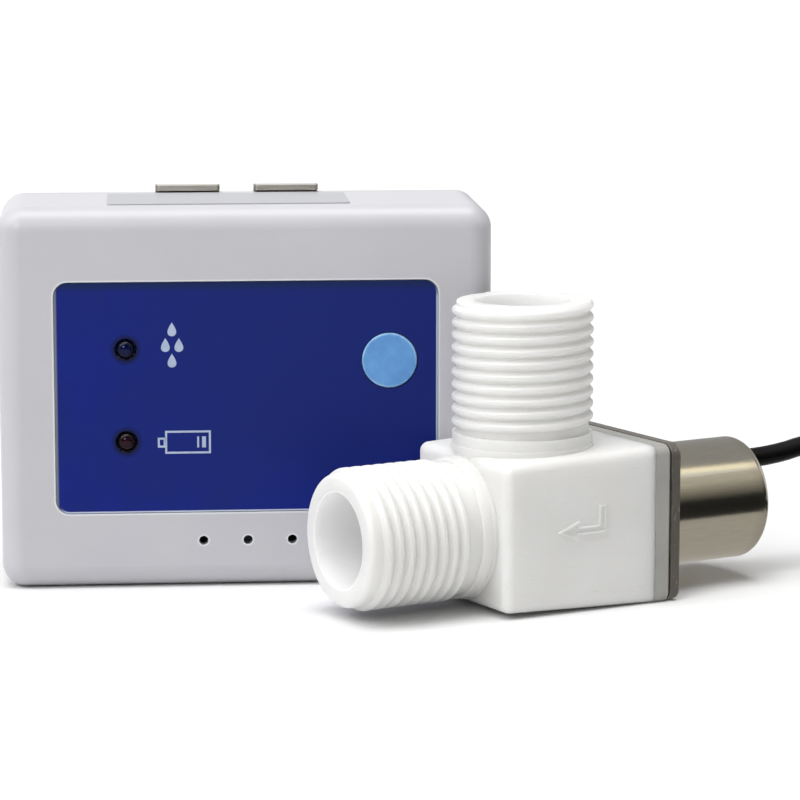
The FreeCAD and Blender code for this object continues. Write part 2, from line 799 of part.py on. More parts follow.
def biarc(start, start_way, end, end_way):
    """Two arcs from start to end that leave and arrive in the given unit directions."""
    reach = end - start
    ways = start_way + end_way
    spread = 2 * (1 - start_way.dot(end_way))
    run = reach.dot(ways)
    arm = (math.sqrt(run * run + spread * reach.dot(reach)) - run) / spread
    first_corner = start + start_way * arm
    last_corner = end - end_way * arm
    middle = (first_corner + last_corner) * 0.5
    return [tangent_arc(start, first_corner, middle), tangent_arc(middle, last_corner, end)]


def tangent_arc(start, corner, end):
    """The arc that touches both lines through a corner at equal distances from it."""
    chord_middle = (start + end) * 0.5
    lean = (start - chord_middle).Length / (start - corner).Length
    top = chord_middle + (corner - chord_middle) * (lean / (1 + lean))
    return Part.Arc(start, top, end).toShape()


def helix_wire(radius, rise, turns):
    """A steady helix along X from the origin, made of half turns."""
    half = rise / turns / 2
    slope = math.atan2(half, math.pi * radius)
    edges = []
    for k in range(2 * turns):
        side = 1 if k % 2 == 0 else -1
        start = V(k * half, side * radius, 0)
        end = V((k + 1) * half, -side * radius, 0)
        way = V(math.sin(slope), 0, side * math.cos(slope))
        edges += biarc(start, way, end, V(way.x, 0, -way.z))
    return Part.Wire(edges)


def tube(wire, radius):
    """A round wire swept along a smooth path."""
    start = wire.Edges[0].valueAt(wire.Edges[0].FirstParameter)
    way = wire.Edges[0].tangentAt(wire.Edges[0].FirstParameter)
    ring = Part.Wire(Part.makeCircle(radius, start, way))
    return wire.makePipeShell([ring], True, False)


def least_gap(wire, radius, step=0.5):
    """The least clear distance between turns of a wound wire, measured on points along it."""
    points = wire.discretize(Distance=step)
    apart = int(math.ceil(6 * radius / step)) + 1
    nearest = min(
        (here - there).Length for k, here in enumerate(points) for there in points[k + apart:]
    )
    return nearest - 2 * radius


def feature(label, shape, place=None):
    item = doc.addObject("Part::Feature", label)
    item.Shape = shape
    return keep(item, label, place)


cell_wire = size("cell_spring_wire") / 2
spring_path = helix_wire(
    size("cell_spring_radius"), size("cell_spring_length"), int(size("cell_spring_turns"))
)
spring = tube(spring_path, cell_wire)
print("battery spring gap %.2f mm" % least_gap(spring_path, cell_wire, 0.2))
spring_seat = size("bay_half") - size("contact_thickness") - cell_wire - size("seat_gap") / 2
springs = []
for side, height in zip(facings, cell_heights):
    copy = spring.copy()
    turn = FreeCAD.Rotation(V(0, 0, 1), 0 if side > 0 else 180)
    copy.Placement = FreeCAD.Placement(V(-side * spring_seat, -size("cell_line"), height), turn)
    springs.append(copy)
feature("battery_springs", Part.makeCompound(springs))

# The circuit board and what it carries

board = slab("Board", "-board_width / 2", "board_bottom", "board_width / 2", "board_top",
             "board_rear", "board_thickness", "board_corner")
LAMP_HEIGHTS = ["leak_lamp_height", "cell_lamp_height"]
LEAD_PLACES = [
    ("-lamp_across %s lamp_lead_spacing / 2" % sign, height) for height in LAMP_HEIGHTS for sign in ("-", "+")
]
sketch = circles(new_sketch(board, "BoardHoleRings", offset="board_front"),
                 rings(BOARD_SCREWS, "board_screw_radius + fit_gap")
                 + rings(LEAD_PLACES, "lamp_lead_radius + fit_gap")
                 + rings(PLATE_PINS, "pin_tail_radius + fit_gap"))
pocket(board, sketch, "board_thickness + fit_gap", "BoardHoles")
keep(board, "circuit_board", FACE)

SOUNDER_TOP = "inner_front - free_gap"
sounder_top = size("inner_front") - size("free_gap")
sounder = turned("Sounder",
                 [("board_front", "0"), ("board_front", "sounder_radius"),
                  (SOUNDER_TOP, "sounder_radius"), (SOUNDER_TOP, "sounder_port_radius"),
                  (SOUNDER_TOP + " - sounder_port_depth", "sounder_port_radius"),
                  (SOUNDER_TOP + " - sounder_port_depth", "0")],
                 [("Chamfer", "part_edge", sounder_top, size("sounder_radius"))])
keep(sounder, "sounder", facing(0, size("sounder_height")))

switch = slab("Switch", "button_across - switch_width / 2", "button_height - switch_width / 2",
              "button_across + switch_width / 2", "button_height + switch_width / 2",
              "board_front", "switch_thickness", "door_corner / 2")
sketch = circles(new_sketch(switch, "SwitchBoreRing", offset="board_front + switch_thickness"),
                 [("button_across", "button_height", "switch_plunger_radius + plunger_clearance")])
pocket(switch, sketch, "switch_bore_depth", "SwitchBore")
keep(switch, "switch_body", FACE)

# The push button and the switch plunger that it rests on

BUTTON_REAR = "inner_front - button_stop_gap - button_flange_thickness"
BUTTON_FRONT = "film_face + button_proud"
button = turned("Button",
                [(BUTTON_REAR + " - button_boss_length", "0"),
                 (BUTTON_REAR + " - button_boss_length", "button_boss_radius"),
                 (BUTTON_REAR, "button_boss_radius"), (BUTTON_REAR, "button_radius + button_flange_width"),
                 ("inner_front - button_stop_gap", "button_radius + button_flange_width"),
                 ("inner_front - button_stop_gap", "button_radius"),
                 (BUTTON_FRONT, "button_radius"), (BUTTON_FRONT, "0")],
                [("Fillet", "button_edge", size("film_face") + size("button_proud"), size("button_radius"))])
keep(button, "push_button", facing(size("button_across"), size("button_height")))
PLUNGER_REAR = "board_front + switch_thickness - switch_bore_depth + button_travel + fit_gap"
stem = turned("SwitchPlunger",
              [(PLUNGER_REAR, "0"), (PLUNGER_REAR, "switch_plunger_radius"),
               (BUTTON_REAR + " - button_boss_length", "switch_plunger_radius"),
               (BUTTON_REAR + " - button_boss_length", "0")])
keep(stem, "switch_plunger", facing(size("button_across"), size("button_height")))

# Two round-topped indicator lamps on their wire leads

LAMP_TOP = "film_face + lamp_proud"
lamp_top = size("film_face") + size("lamp_proud")
for label, height in (("leak_lamp", "leak_lamp_height"), ("battery_lamp", "cell_lamp_height")):
    lamp = turned(label + "_solid",
                  [(LAMP_TOP + " - lamp_length", "0"), (LAMP_TOP + " - lamp_length", "lamp_flange_radius"),
                   (LAMP_TOP + " - lamp_length + lamp_flange_length", "lamp_flange_radius"),
                   (LAMP_TOP + " - lamp_length + lamp_flange_length", "lamp_radius"),
                   (LAMP_TOP, "lamp_radius"), (LAMP_TOP, "0")],
                  [("Fillet", "lamp_dome_radius", lamp_top, size("lamp_radius"))])
    keep(lamp, label, facing(-size("lamp_across"), size(height)))
leads = [
    rod("LampLead%d" % k, (across, "lamp_length - film_face - lamp_proud", up), "lamp_lead_radius",
        LAMP_TOP + " - lamp_length - board_rear + lamp_lead_tail", "y")
    for k, (across, up) in enumerate(LEAD_PLACES)
]
keep(group("LampLeads", leads), "lamp_leads")


def chip(name, label, length, across, up):
    """A small flat chip with legs along its two long sides."""
    legs_per_side = int((size(length) - size("chip_leg_width")) / size("chip_leg_pitch"))
    front = "-board_front - chip_leg_thickness / 2 - chip_thickness"
    parts = [block(name + "Case", ("%s - %s / 2" % (across, length), front, up + " - chip_width / 2"),
                   (length, "chip_thickness", "chip_width"))]
    for k in range(legs_per_side):
        step = k - (legs_per_side - 1) / 2
        parts.append(block("%sLeg%d" % (name, k),
                           ("%s + %.1f * chip_leg_pitch - chip_leg_width / 2" % (across, step),
                            "-board_front - chip_leg_thickness", up + " - chip_width / 2 - chip_leg_reach"),
                           ("chip_leg_width", "chip_leg_thickness", "chip_width + 2 * chip_leg_reach")))
    keep(joined(name, parts), label)


chip("Controller", "controller_chip", "chip_length", "chip_across", "chip_height")
chip("Driver", "valve_driver_chip", "driver_length", "driver_across", "driver_height")

GROOVE_LOW = "board_front + capacitor_groove_at"
GROOVE_HIGH = GROOVE_LOW + " + 2 * capacitor_groove"
CAPACITOR_TOP = "board_front + capacitor_length"
reservoir = turned("Reservoir",
                   [("board_front", "0"), ("board_front", "capacitor_radius"),
                    (GROOVE_LOW, "capacitor_radius"), (GROOVE_LOW, "capacitor_radius - capacitor_groove"),
                    (GROOVE_HIGH, "capacitor_radius - capacitor_groove"), (GROOVE_HIGH, "capacitor_radius"),
                    (CAPACITOR_TOP, "capacitor_radius"), (CAPACITOR_TOP, "0")],
                   [("Fillet", "part_edge", size("board_front") + size("capacitor_length"),
                     size("capacitor_radius"))])
keep(reservoir, "reservoir_capacitor", facing(-size("capacitor_across"), size("capacitor_height")))

JACK_FACE = "wall + jack_wall_gap - box_width / 2"
jack_case = block("JackCase", (JACK_FACE, "-board_front - jack_thickness", "jack_height - jack_width / 2"),
                  ("jack_length", "jack_thickness", "jack_width"))
jack_nose = rod("JackNose", ("jack_nose_inset - box_width / 2", "-jack_line", "jack_height"),
                "jack_nose_radius", "wall + jack_wall_gap - jack_nose_inset", "x")
jack_bore = rod("JackBore", ("jack_nose_inset - box_width / 2 - fit_gap", "-jack_line", "jack_height"),
                "jack_bore_radius", "jack_bore_depth + fit_gap", "x")
keep(less("Jack", joined("JackBlank", [jack_case, jack_nose]), [jack_bore]), "jack_socket")

# Screws of the case and of the board, from behind


def screw_row(name, label, places, out, head, shank, length, sunk=False):
    solids = []
    for k, (across, up) in enumerate(places):
        solids.append(screw("%s%d" % (name, k), backing(across, up, out), head, shank, length, sunk))
    keep(group(name + "Group", solids), label)


low, high = size("case_screw_inset"), size("box_height") - size("case_screw_inset")
screw_row("CaseScrew", "case_screws",
          [(side * size("case_screw_across"), up) for side in (-1, 1) for up in (low, high)], front_out,
          ("case_screw_head_radius", "case_screw_head_height"), "case_screw_radius", "case_screw_length")
screw_row("BoardScrew", "board_screws",
          [(side * size("board_screw_across"), size(up)) for side in (-1, 1)
           for up in ("board_screw_low", "board_screw_high")],
          size("board_screw_head_height") - size("board_rear"),
          ("board_screw_head_radius", "board_screw_head_height"), "board_screw_radius", "board_screw_length")

# Two water-sensing plates over the rear edge of the top, each held and wired by one pin

SIDES = (("left", "left_plate_across"), ("right", "right_plate_across"))
PLATE_BACK = "front_face + plate_thickness"
PLATE_TOP = "box_height + plate_lift + plate_thickness"
plate_back, plate_top = front_out + size("plate_thickness"), size("box_height") + size("plate_lift")
for side, across in SIDES:
    label = "sensor_plate_" + side
    body = new_body(label + "_solid")
    sketch = polygon(new_sketch(body, label + "_profile", "YZ_Plane", across + " - plate_length / 2"),
                     [(PLATE_BACK + " - plate_depth", "box_height + plate_lift"),
                      (PLATE_BACK + " - plate_depth", PLATE_TOP), (PLATE_BACK, PLATE_TOP),
                      (PLATE_BACK, "box_height - plate_drop"), ("front_face", "box_height - plate_drop"),
                      ("front_face", "box_height + plate_lift")])
    pad(body, sketch, "plate_length", label + "_strip")
    ease(body, "Fillet", "plate_bend",
         lambda edge: along(edge, 0) and abs(edge.CenterOfMass.y - plate_back) < 1e-4
         and edge.CenterOfMass.z > plate_top, label + "_bend")
    front_y = plate_back - size("plate_depth")
    low_z = size("box_height") - size("plate_drop")
    ease(body, "Fillet", "plate_corner",
         lambda edge: (along(edge, 2) and abs(edge.CenterOfMass.y - front_y) < 1e-4)
         or (along(edge, 1) and abs(edge.CenterOfMass.z - low_z) < 1e-4), label + "_corners")
    sketch = circles(new_sketch(body, label + "_ring", "XZ_Plane", "-front_face + fit_gap"),
                     [(across, "pin_up", "pin_shank_radius + pilot_gap")])
    pocket(body, sketch, "plate_thickness + 2 * fit_gap", label + "_hole")
    keep(body, label)
PIN_TAIL = "-board_front - pin_tail_reach"
PIN_TOP = PLATE_BACK + " + pin_head_height"
pin_top = plate_back + size("pin_head_height")
for side, across in SIDES:
    pin = turned("Pin_" + side,
                 [(PIN_TAIL, "0"), (PIN_TAIL, "pin_tail_radius"),
                  ("-seam_face - free_gap", "pin_tail_radius"), ("-seam_face - free_gap", "pin_shank_radius"),
                  (PLATE_BACK, "pin_shank_radius"), (PLATE_BACK, "pin_head_radius"),
                  (PIN_TOP, "pin_head_radius"), (PIN_TOP, "0")],
                 [("Fillet", "pin_head_height / 2", pin_top, size("pin_head_radius"))])
    keep(pin, "sensor_pin_" + side, backing(size(across), size("pin_up"), 0))

sticker = slab("Sticker", "sticker_across - sticker_length / 2", "sticker_middle - sticker_width / 2",
               "sticker_across + sticker_length / 2", "sticker_middle + sticker_width / 2",
               "box_height", "sticker_thickness", "sticker_corner")
keep(sticker, "top_sticker")

# The valve's moulded body. Its two nozzles carry half-inch parallel pipe thread.

def thread_ridge(low, high):
    """Whole turns of one ridge about Z with a rounded crest, up against the higher limit of its foot.
    It is sunk a little into the core, and both its ends lie on the mould's parting line."""
    pitch, crest, root = size("thread_pitch"), size("thread_crest_radius"), size("thread_root")
    shoulder, half_shoulder = crest - size("thread_crest_round"), size("thread_shoulder") / 2
    half_root = (pitch - size("thread_root_land")) / 2
    flank = (half_root - half_shoulder) / (shoulder - root)
    half_foot = half_root + flank * size("thread_sink")
    flanks = [
        (root - size("thread_sink"), half_foot), (shoulder, half_shoulder), (crest, size("thread_crest") / 2),
    ]
    corners = [V(radius, 0, -up) for radius, up in flanks] + [V(radius, 0, up) for radius, up in flanks[::-1]]
    profile = Part.makePolygon(corners + corners[:1])
    rise = math.floor((high - low - 2 * half_foot) / pitch) * pitch
    helix = Part.makeHelix(pitch, rise, crest)
    ridge = Part.Wire(helix.Edges).makePipeShell([profile], True, True)
    ridge.rotate(V(0, 0, 0), V(0, 0, 1), size("thread_parting"))
    ridge.translate(V(0, 0, high - half_foot - rise))
    return ridge


def nozzle(name, length, rim_round, lead, place):
    """A threaded nozzle turned up along Z from inside the body, with a rounded rim. The thread stops at its
    lead below the rim, or runs out through the rim's face where the lead is negative."""
    root, collar, foot = size("thread_root"), size("nozzle_collar_radius"), size("thread_radius")
    foot_end, collar_end = size("nozzle_foot_length"), size("nozzle_collar_length")
    sunk = -size("nozzle_sink")
    outline = [
        (0, sunk), (foot, sunk), (foot, foot_end), (collar, foot_end), (collar, collar_end),
        (root, collar_end), (root, length), (0, length),
    ]
    corners = [V(radius, 0, up) for radius, up in outline]
    blank = Part.Face(Part.makePolygon(corners + corners[:1])).revolve(V(0, 0, 0), V(0, 0, 1), 360)
    core = blank.makeFillet(rim_round, [edge for edge in blank.Edges if at_level(edge, 2, length)])
    item = doc.addObject("Part::Feature", name)
    ridge = thread_ridge(collar_end, length - lead).common(Part.makeCylinder(foot, length))
    item.Shape = core.fuse(ridge)
    item.Placement = place
    return item


wedge = doc.addObject("Part::Wedge", "BodyWedge")
bind(wedge, {
    "Xmin": "-body_height_outlet / 2", "Xmax": "body_height_outlet / 2",
    "X2min": "-line_height", "X2max": "line_height",
    "Zmin": "-body_width_outlet / 2", "Zmax": "body_width_outlet / 2",
    "Z2min": "-body_width_flange / 2", "Z2max": "body_width_flange / 2",
    "Ymin": "-body_outlet_end", "Ymax": "body_flange_end",
})
wedge.Placement = FreeCAD.Placement(V(0, 0, 0), FreeCAD.Rotation(V(1, 1, 1), -120))
doc.recompute()
moulded = doc.addObject("Part::Fillet", "BodyMoulding")
moulded.Base = wedge
flange_x = size("body_flange_end")
moulded.Edges = [
    (k, size("body_edge_radius"), size("body_edge_radius"))
    for k, edge in enumerate(wedge.Shape.Edges, start=1)
    if not at_level(edge, 0, flange_x)
]
inlet = nozzle("Inlet", size("inlet_length"), size("inlet_rim_round"), size("inlet_thread_lead"),
               FreeCAD.Placement(V(0, 0, size("inlet_base")), FreeCAD.Rotation()))
outlet = nozzle("Outlet", size("outlet_length"), size("outlet_rim_round"), size("outlet_thread_lead"),
                FreeCAD.Placement(V(-size("body_outlet_end"), 0, 0), FreeCAD.Rotation(V(0, 1, 0), -90)))

# A hollow elbow arrow, raised on the body's face, shows the flow from the inlet to the outlet

arrow_sketch = doc.addObject("Sketcher::SketchObject", "ArrowOutline")
SHAFT_LOW, SHAFT_HIGH = "arrow_middle - arrow_shaft_half", "arrow_middle + arrow_shaft_half"
polygon(arrow_sketch, [
    ("arrow_tip", "arrow_middle"), ("arrow_head_back", "arrow_middle - arrow_head_half"),
    ("arrow_head_back", SHAFT_LOW), ("arrow_leg_far", SHAFT_LOW),
    ("arrow_leg_far", "arrow_leg_top"), ("arrow_leg_near", "arrow_leg_top"),
    ("arrow_leg_near", SHAFT_HIGH), ("arrow_head_back", SHAFT_HIGH),
    ("arrow_head_back", "arrow_middle + arrow_head_half"),
])
arrow_line = doc.addObject("Part::Offset2D", "ArrowLine")
arrow_line.Source = arrow_sketch
arrow_line.Join = 2
arrow_line.Fill = True
bind(arrow_line, {"Value": "-arrow_line"})
arrow = doc.addObject("Part::Extrusion", "Arrow")
arrow.Base = arrow_line
arrow.DirMode = "Custom"
arrow.Dir = V(0, 0, 1)
arrow.Solid = True
bind(arrow, {"LengthFwd": "arrow_proud", "LengthRev": "wall / 2"})
body_length = size("body_outlet_end") + size("body_flange_end")
spread = (size("body_width_flange") - size("body_width_outlet")) / 2
face_at_inlet = size("body_width_outlet") / 2 + spread * size("body_outlet_end") / body_length
arrow.Placement = FreeCAD.Placement(
    V(0, -face_at_inlet, -size("line_height")),
    FreeCAD.Rotation(V(0, 0, 1), -math.degrees(math.atan2(spread, body_length)))
    * FreeCAD.Rotation(V(1, 0, 0), 90),
)

FLANGE_SCREWS = [
    ("%s(body_width_flange / 2 - flange_screw_inset)" % across, "%s(line_height - flange_screw_inset)" % up)
    for across in ("-", "") for up in ("-", "")
]
SEAT_TUBE = "seat_bore_radius + seat_wall"
chamber = less("Chamber",
               rod("ChamberBlank", ("chamber_start", "0", "0"), "chamber_radius",
                   "rim_shoulder - chamber_start + fit_gap", "x"),
               [rod("SeatTube", ("chamber_start - fit_gap", "0", "0"), SEAT_TUBE,
                    "seat_at - chamber_start + fit_gap", "x")])
waterways = [
    rod("OutletBore", ("-body_outlet_end - outlet_length - fit_gap", "0", "0"), "nozzle_bore_radius",
        "body_outlet_end + outlet_length + fit_gap + outlet_bore_end", "x"),
    rod("SeatBore", ("outlet_bore_end - fit_gap", "0", "0"), "seat_bore_radius",
        "seat_at - outlet_bore_end + 2 * fit_gap", "x"),
    chamber,
    rod("DiaphragmSeat", ("rim_shoulder", "0", "0"), "rim_radius",
        "body_flange_end - rim_shoulder + fit_gap", "x"),
    rod("InletBore", ("0", "0", "screen_seat_top - line_height"), "nozzle_bore_radius",
        "inlet_top - screen_seat_top + fit_gap"),
    rod("ScreenSeat", ("0", "0", "throat_top - line_height"), "screen_seat_radius",
        "screen_seat_top - throat_top + fit_gap"),
    rod("Throat", ("0", "0", SEAT_TUBE + " + free_gap"), "throat_radius",
        "throat_top - line_height - free_gap - (" + SEAT_TUBE + ") + fit_gap"),
]
PILOT_END = "can_start - flange_screw_length - free_gap"
PILOT_LENGTH = "body_flange_end + fit_gap - (" + PILOT_END + ")"
for k, (across, up) in enumerate(FLANGE_SCREWS):
    start = (PILOT_END, across, up)
    waterways.append(rod("FlangePilot%d" % k, start, "flange_screw_radius + pilot_gap", PILOT_LENGTH, "x"))
valve_body = less("ValveBody", joined("ValveBlank", [moulded, inlet, outlet, arrow]), waterways)
keep(valve_body, "valve_body", LINE)

# A fine strainer rests on the shoulder inside the inlet

screen = new_body("Screen")
SCREEN_RADIUS = "screen_seat_radius - seat_gap"
pad(screen, circles(new_sketch(screen, "ScreenDisc", offset="throat_top"), [("0", "0", SCREEN_RADIUS)]),
    "screen_height", "ScreenBlank")
sketch = circles(new_sketch(screen, "ScreenInside", offset="throat_top + screen_height"),
                 [("0", "0", SCREEN_RADIUS + " - screen_rim")])
pocket(screen, sketch, "screen_height - screen_web", "ScreenDish")
hole_rings = int(size("screen_hole_rings"))
holes = []
for row in range(-hole_rings, hole_rings + 1):
    count = 2 * hole_rings + 1 - abs(row)
    for k in range(count):
        holes.append(("%.1f * screen_hole_pitch" % (k - (count - 1) / 2),
                      "%.4f * screen_hole_pitch" % (row * math.sqrt(3) / 2), "screen_hole_radius"))
pocket(screen, circles(new_sketch(screen, "ScreenHoles", offset="throat_top + screen_height"), holes),
       "2 * screen_height", "Mesh")
keep(screen, "inlet_screen", VALVE)

# The diaphragm: a rubber web with a bead at its rim, and the stiff disc that closes the seat

BEAD_RADIUS = "rim_radius - seat_gap"
WEB_LOW = "rim_shoulder + (rim_thickness - web_thickness) / 2"
membrane = turned("Membrane", [
    ("rim_shoulder", BEAD_RADIUS + " - bead_width"), ("rim_shoulder", BEAD_RADIUS),
    ("rim_shoulder + rim_thickness", BEAD_RADIUS),
    ("rim_shoulder + rim_thickness", BEAD_RADIUS + " - bead_width"),
    (WEB_LOW + " + web_thickness", BEAD_RADIUS + " - bead_width"),
    (WEB_LOW + " + web_thickness", "disc_radius + seat_gap"), (WEB_LOW, "disc_radius + seat_gap"),
    (WEB_LOW, BEAD_RADIUS + " - bead_width"),
])
keep(membrane, "diaphragm_membrane", LINE)
disc = turned("Disc", [("disc_start", "disc_orifice_radius"), ("disc_start", "disc_radius"),
                       ("disc_end", "disc_radius"), ("disc_end", "disc_orifice_radius")])
keep(disc, "diaphragm_disc", LINE)

# The bonnet closes the diaphragm's chamber, and a steel plate clamps it

bonnet = slab("Bonnet", "-body_width_flange / 2", "-line_height", "body_width_flange / 2", "line_height",
              "body_flange_end", "bonnet_thickness", "body_edge_radius")
bonnet_face = size("bonnet_end")
ease(bonnet, "Chamfer", "bonnet_bevel", lambda edge: at_level(edge, 2, bonnet_face), "BonnetBevel")
pad(bonnet, circles(new_sketch(bonnet, "SpigotRing", offset="spigot_start"), [("0", "0", BEAD_RADIUS)]),
    "body_flange_end - spigot_start", "Spigot")
BONNET_CUTS = [
    ("Control", "control_floor", "control_radius", "control_depth + fit_gap"),
    ("TubeHole", "bonnet_end", "tube_outer + ring_squeeze", "bonnet_end - spigot_start"),
    ("FlangeSink", "bonnet_end", "tube_flange_radius + fit_gap", "tube_flange_thickness + ring_squeeze"),
    ("RingGroove", "bonnet_end", "tube_outer + ring_wire + 2 * seat_gap",
     "tube_flange_thickness + ring_wire + 2 * ring_squeeze"),
]
for name, level, radius, depth in BONNET_CUTS:
    sketch = circles(new_sketch(bonnet, name + "Ring", offset=level), [("0", "0", radius)])
    pocket(bonnet, sketch, depth, name)
sketch = circles(new_sketch(bonnet, "BonnetScrewRings", offset="bonnet_end"),
                 rings(FLANGE_SCREWS, "flange_screw_radius + fit_gap"))
pocket(bonnet, sketch, "bonnet_thickness + fit_gap", "BonnetScrewHoles")
keep(bonnet, "bonnet", STACK)

plate = slab("FlangePlate", "-body_width_flange / 2", "-line_height", "body_width_flange / 2", "line_height",
             "bonnet_end", "flange_plate_thickness", "flange_corner")
sketch = circles(new_sketch(plate, "PlateRings", offset="can_start"),
                 rings(FLANGE_SCREWS, "flange_screw_radius + fit_gap") + [("0", "0", "tube_outer + fit_gap")])
pocket(plate, sketch, "flange_plate_thickness + fit_gap", "PlateHoles")
plate_face, hole_radius = size("can_start"), size("flange_screw_radius") + size("fit_gap")
ease(plate, "Chamfer", "flange_screw_head_radius - flange_screw_radius",
     lambda edge: at_level(edge, 2, plate_face) and edge.Curve.TypeId == "Part::GeomCircle"
     and abs(edge.Curve.Radius - hole_radius) < 1e-4, "Countersinks")
keep(plate, "flange_plate", STACK)

SUNK_HEAD = ("flange_screw_head_radius", "(flange_screw_head_radius - flange_screw_radius)")
screw_across = size("body_width_flange") / 2 - size("flange_screw_inset")
screw_up = size("line_height") - size("flange_screw_inset")
flange_screws = []
for side in (-1, 1):
    for rise in (-1, 1):
        seat = V(size("can_start"), side * screw_across, rise * screw_up)
        flange_screws.append(
            screw("FlangeScrew%d%d" % (side + 1, rise + 1),
                  LINE * FreeCAD.Placement(seat, FreeCAD.Rotation()),
                  SUNK_HEAD, "flange_screw_radius", "flange_screw_length - " + SUNK_HEAD[1], True)
        )
keep(group("FlangeScrews", flange_screws), "flange_screws")

# The solenoid: a sealed tube with the plunger inside it and the coil round it

TUBE_FLANGE_LOW = "bonnet_end - tube_flange_thickness"
core_tube = turned("CoreTube", [
    ("control_floor + seat_gap", "tube_inner_radius"), ("control_floor + seat_gap", "tube_outer"),
    (TUBE_FLANGE_LOW, "tube_outer"), (TUBE_FLANGE_LOW, "tube_flange_radius"),
    ("bonnet_end", "tube_flange_radius"), ("bonnet_end", "tube_outer"), ("tube_end", "tube_outer"),
    ("tube_end", "0"), ("tube_end - tube_wall", "0"), ("tube_end - tube_wall", "tube_inner_radius"),
])
keep(core_tube, "core_tube", LINE)
ring = doc.addObject("Part::Torus", "TubeRing")
bind(ring, {"Radius1": "tube_outer + ring_squeeze + ring_wire / 2", "Radius2": "ring_wire / 2"})
flange_low = size("bonnet_end") - size("tube_flange_thickness")
ring_at = flange_low - size("ring_wire") / 2 - 2 * size("ring_squeeze")
keep(ring, "tube_o_ring", LINE * FreeCAD.Placement(V(ring_at, 0, 0), TURN["x"]))

PLUNGER_RADIUS = "tube_inner_radius - plunger_clearance"
POCKET_FLOOR = "plunger_end - plunger_pocket_depth"
plunger = turned("Plunger", [
    ("plunger_start", "plunger_tip_radius"), ("plunger_start", PLUNGER_RADIUS),
    ("plunger_end", PLUNGER_RADIUS), ("plunger_end", "plunger_pocket_radius"),
    (POCKET_FLOOR, "plunger_pocket_radius"), (POCKET_FLOOR, "0"),
    ("plunger_start + plunger_tip_depth", "0"), ("plunger_start + plunger_tip_depth", "plunger_tip_radius"),
])
keep(plunger, "plunger", LINE)
seal = turned("PlungerSeal", [
    ("plunger_start", "0"), ("plunger_start", "plunger_tip_radius"),
    ("plunger_start + plunger_tip_depth", "plunger_tip_radius"), ("plunger_start + plunger_tip_depth", "0"),
])
keep(seal, "plunger_seal", LINE)
spring_start = size("plunger_end") - size("plunger_pocket_depth") + size("spring_wire") / 2 + size("seat_gap")
spring_end = size("core_start") - size("spring_wire") / 2 - size("seat_gap")
spring_path = helix_wire(size("spring_radius"), spring_end - spring_start, int(size("spring_turns")))
print("plunger spring gap %.2f mm" % least_gap(spring_path, size("spring_wire") / 2, 0.2))
feature("plunger_spring", tube(spring_path, size("spring_wire") / 2),
        LINE * FreeCAD.Placement(V(spring_start, 0, 0), FreeCAD.Rotation()))
fixed_core = turned("FixedCore", [
    ("core_start", "0"), ("core_start", "tube_inner_radius - core_clearance"),
    ("tube_end - tube_wall", "tube_inner_radius - core_clearance"), ("tube_end - tube_wall", "0"),
])
keep(fixed_core, "fixed_core", LINE)

BOBBIN_TUBE = "tube_outer + seat_gap + bobbin_wall"
bobbin = turned("Bobbin", [
    ("bobbin_start", "tube_outer + seat_gap"), ("bobbin_start", "bobbin_radius"),
    ("bobbin_start + bobbin_wall", "bobbin_radius"), ("bobbin_start + bobbin_wall", BOBBIN_TUBE),
    ("bobbin_end - bobbin_wall", BOBBIN_TUBE), ("bobbin_end - bobbin_wall", "bobbin_radius"),
    ("bobbin_end", "bobbin_radius"), ("bobbin_end", "tube_outer + seat_gap"),
])
keep(bobbin, "coil_bobbin", LINE)
WINDING_LOW, WINDING_HIGH = "bobbin_start + bobbin_wall + seat_gap", "bobbin_end - bobbin_wall - seat_gap"
winding = turned("Winding", [
    (WINDING_LOW, BOBBIN_TUBE + " + core_clearance"), (WINDING_LOW, "winding_radius"),
    (WINDING_HIGH, "winding_radius"), (WINDING_HIGH, BOBBIN_TUBE + " + core_clearance"),
])
keep(winding, "coil_winding", LINE)
MAGNET_LOW = "tube_end + seat_gap"
MAGNET_HIGH = MAGNET_LOW + " + magnet_thickness"
magnet = turned("Magnet", [
    (MAGNET_LOW, "0"), (MAGNET_LOW, "magnet_radius"), (MAGNET_HIGH, "magnet_radius"), (MAGNET_HIGH, "0"),
])
keep(magnet, "latch_magnet", LINE)

can_end = size("can_end")
can_outer, can_inner = size("can_radius"), size("can_radius") - size("can_wall")
can = turned("Can", [
    ("can_start", "can_radius - can_wall"), ("can_start", "can_radius"),
    ("can_end", "can_radius"), ("can_end", "0"),
    ("can_end - can_wall", "0"), ("can_end - can_wall", "can_radius - can_wall"),
], [("Fillet", "can_end_round", can_end, can_outer),
    ("Fillet", "can_end_round - can_wall", can_end - size("can_wall"), can_inner)])
sketch = circles(new_sketch(can, "CordHoleRing", "YZ_Plane", "can_end + fit_gap"),
                 [("0", "cord_rise", "cord_radius + grommet_wall")])
pocket(can, sketch, "can_wall + 2 * fit_gap", "CordHole")
keep(can, "solenoid_can", LINE)

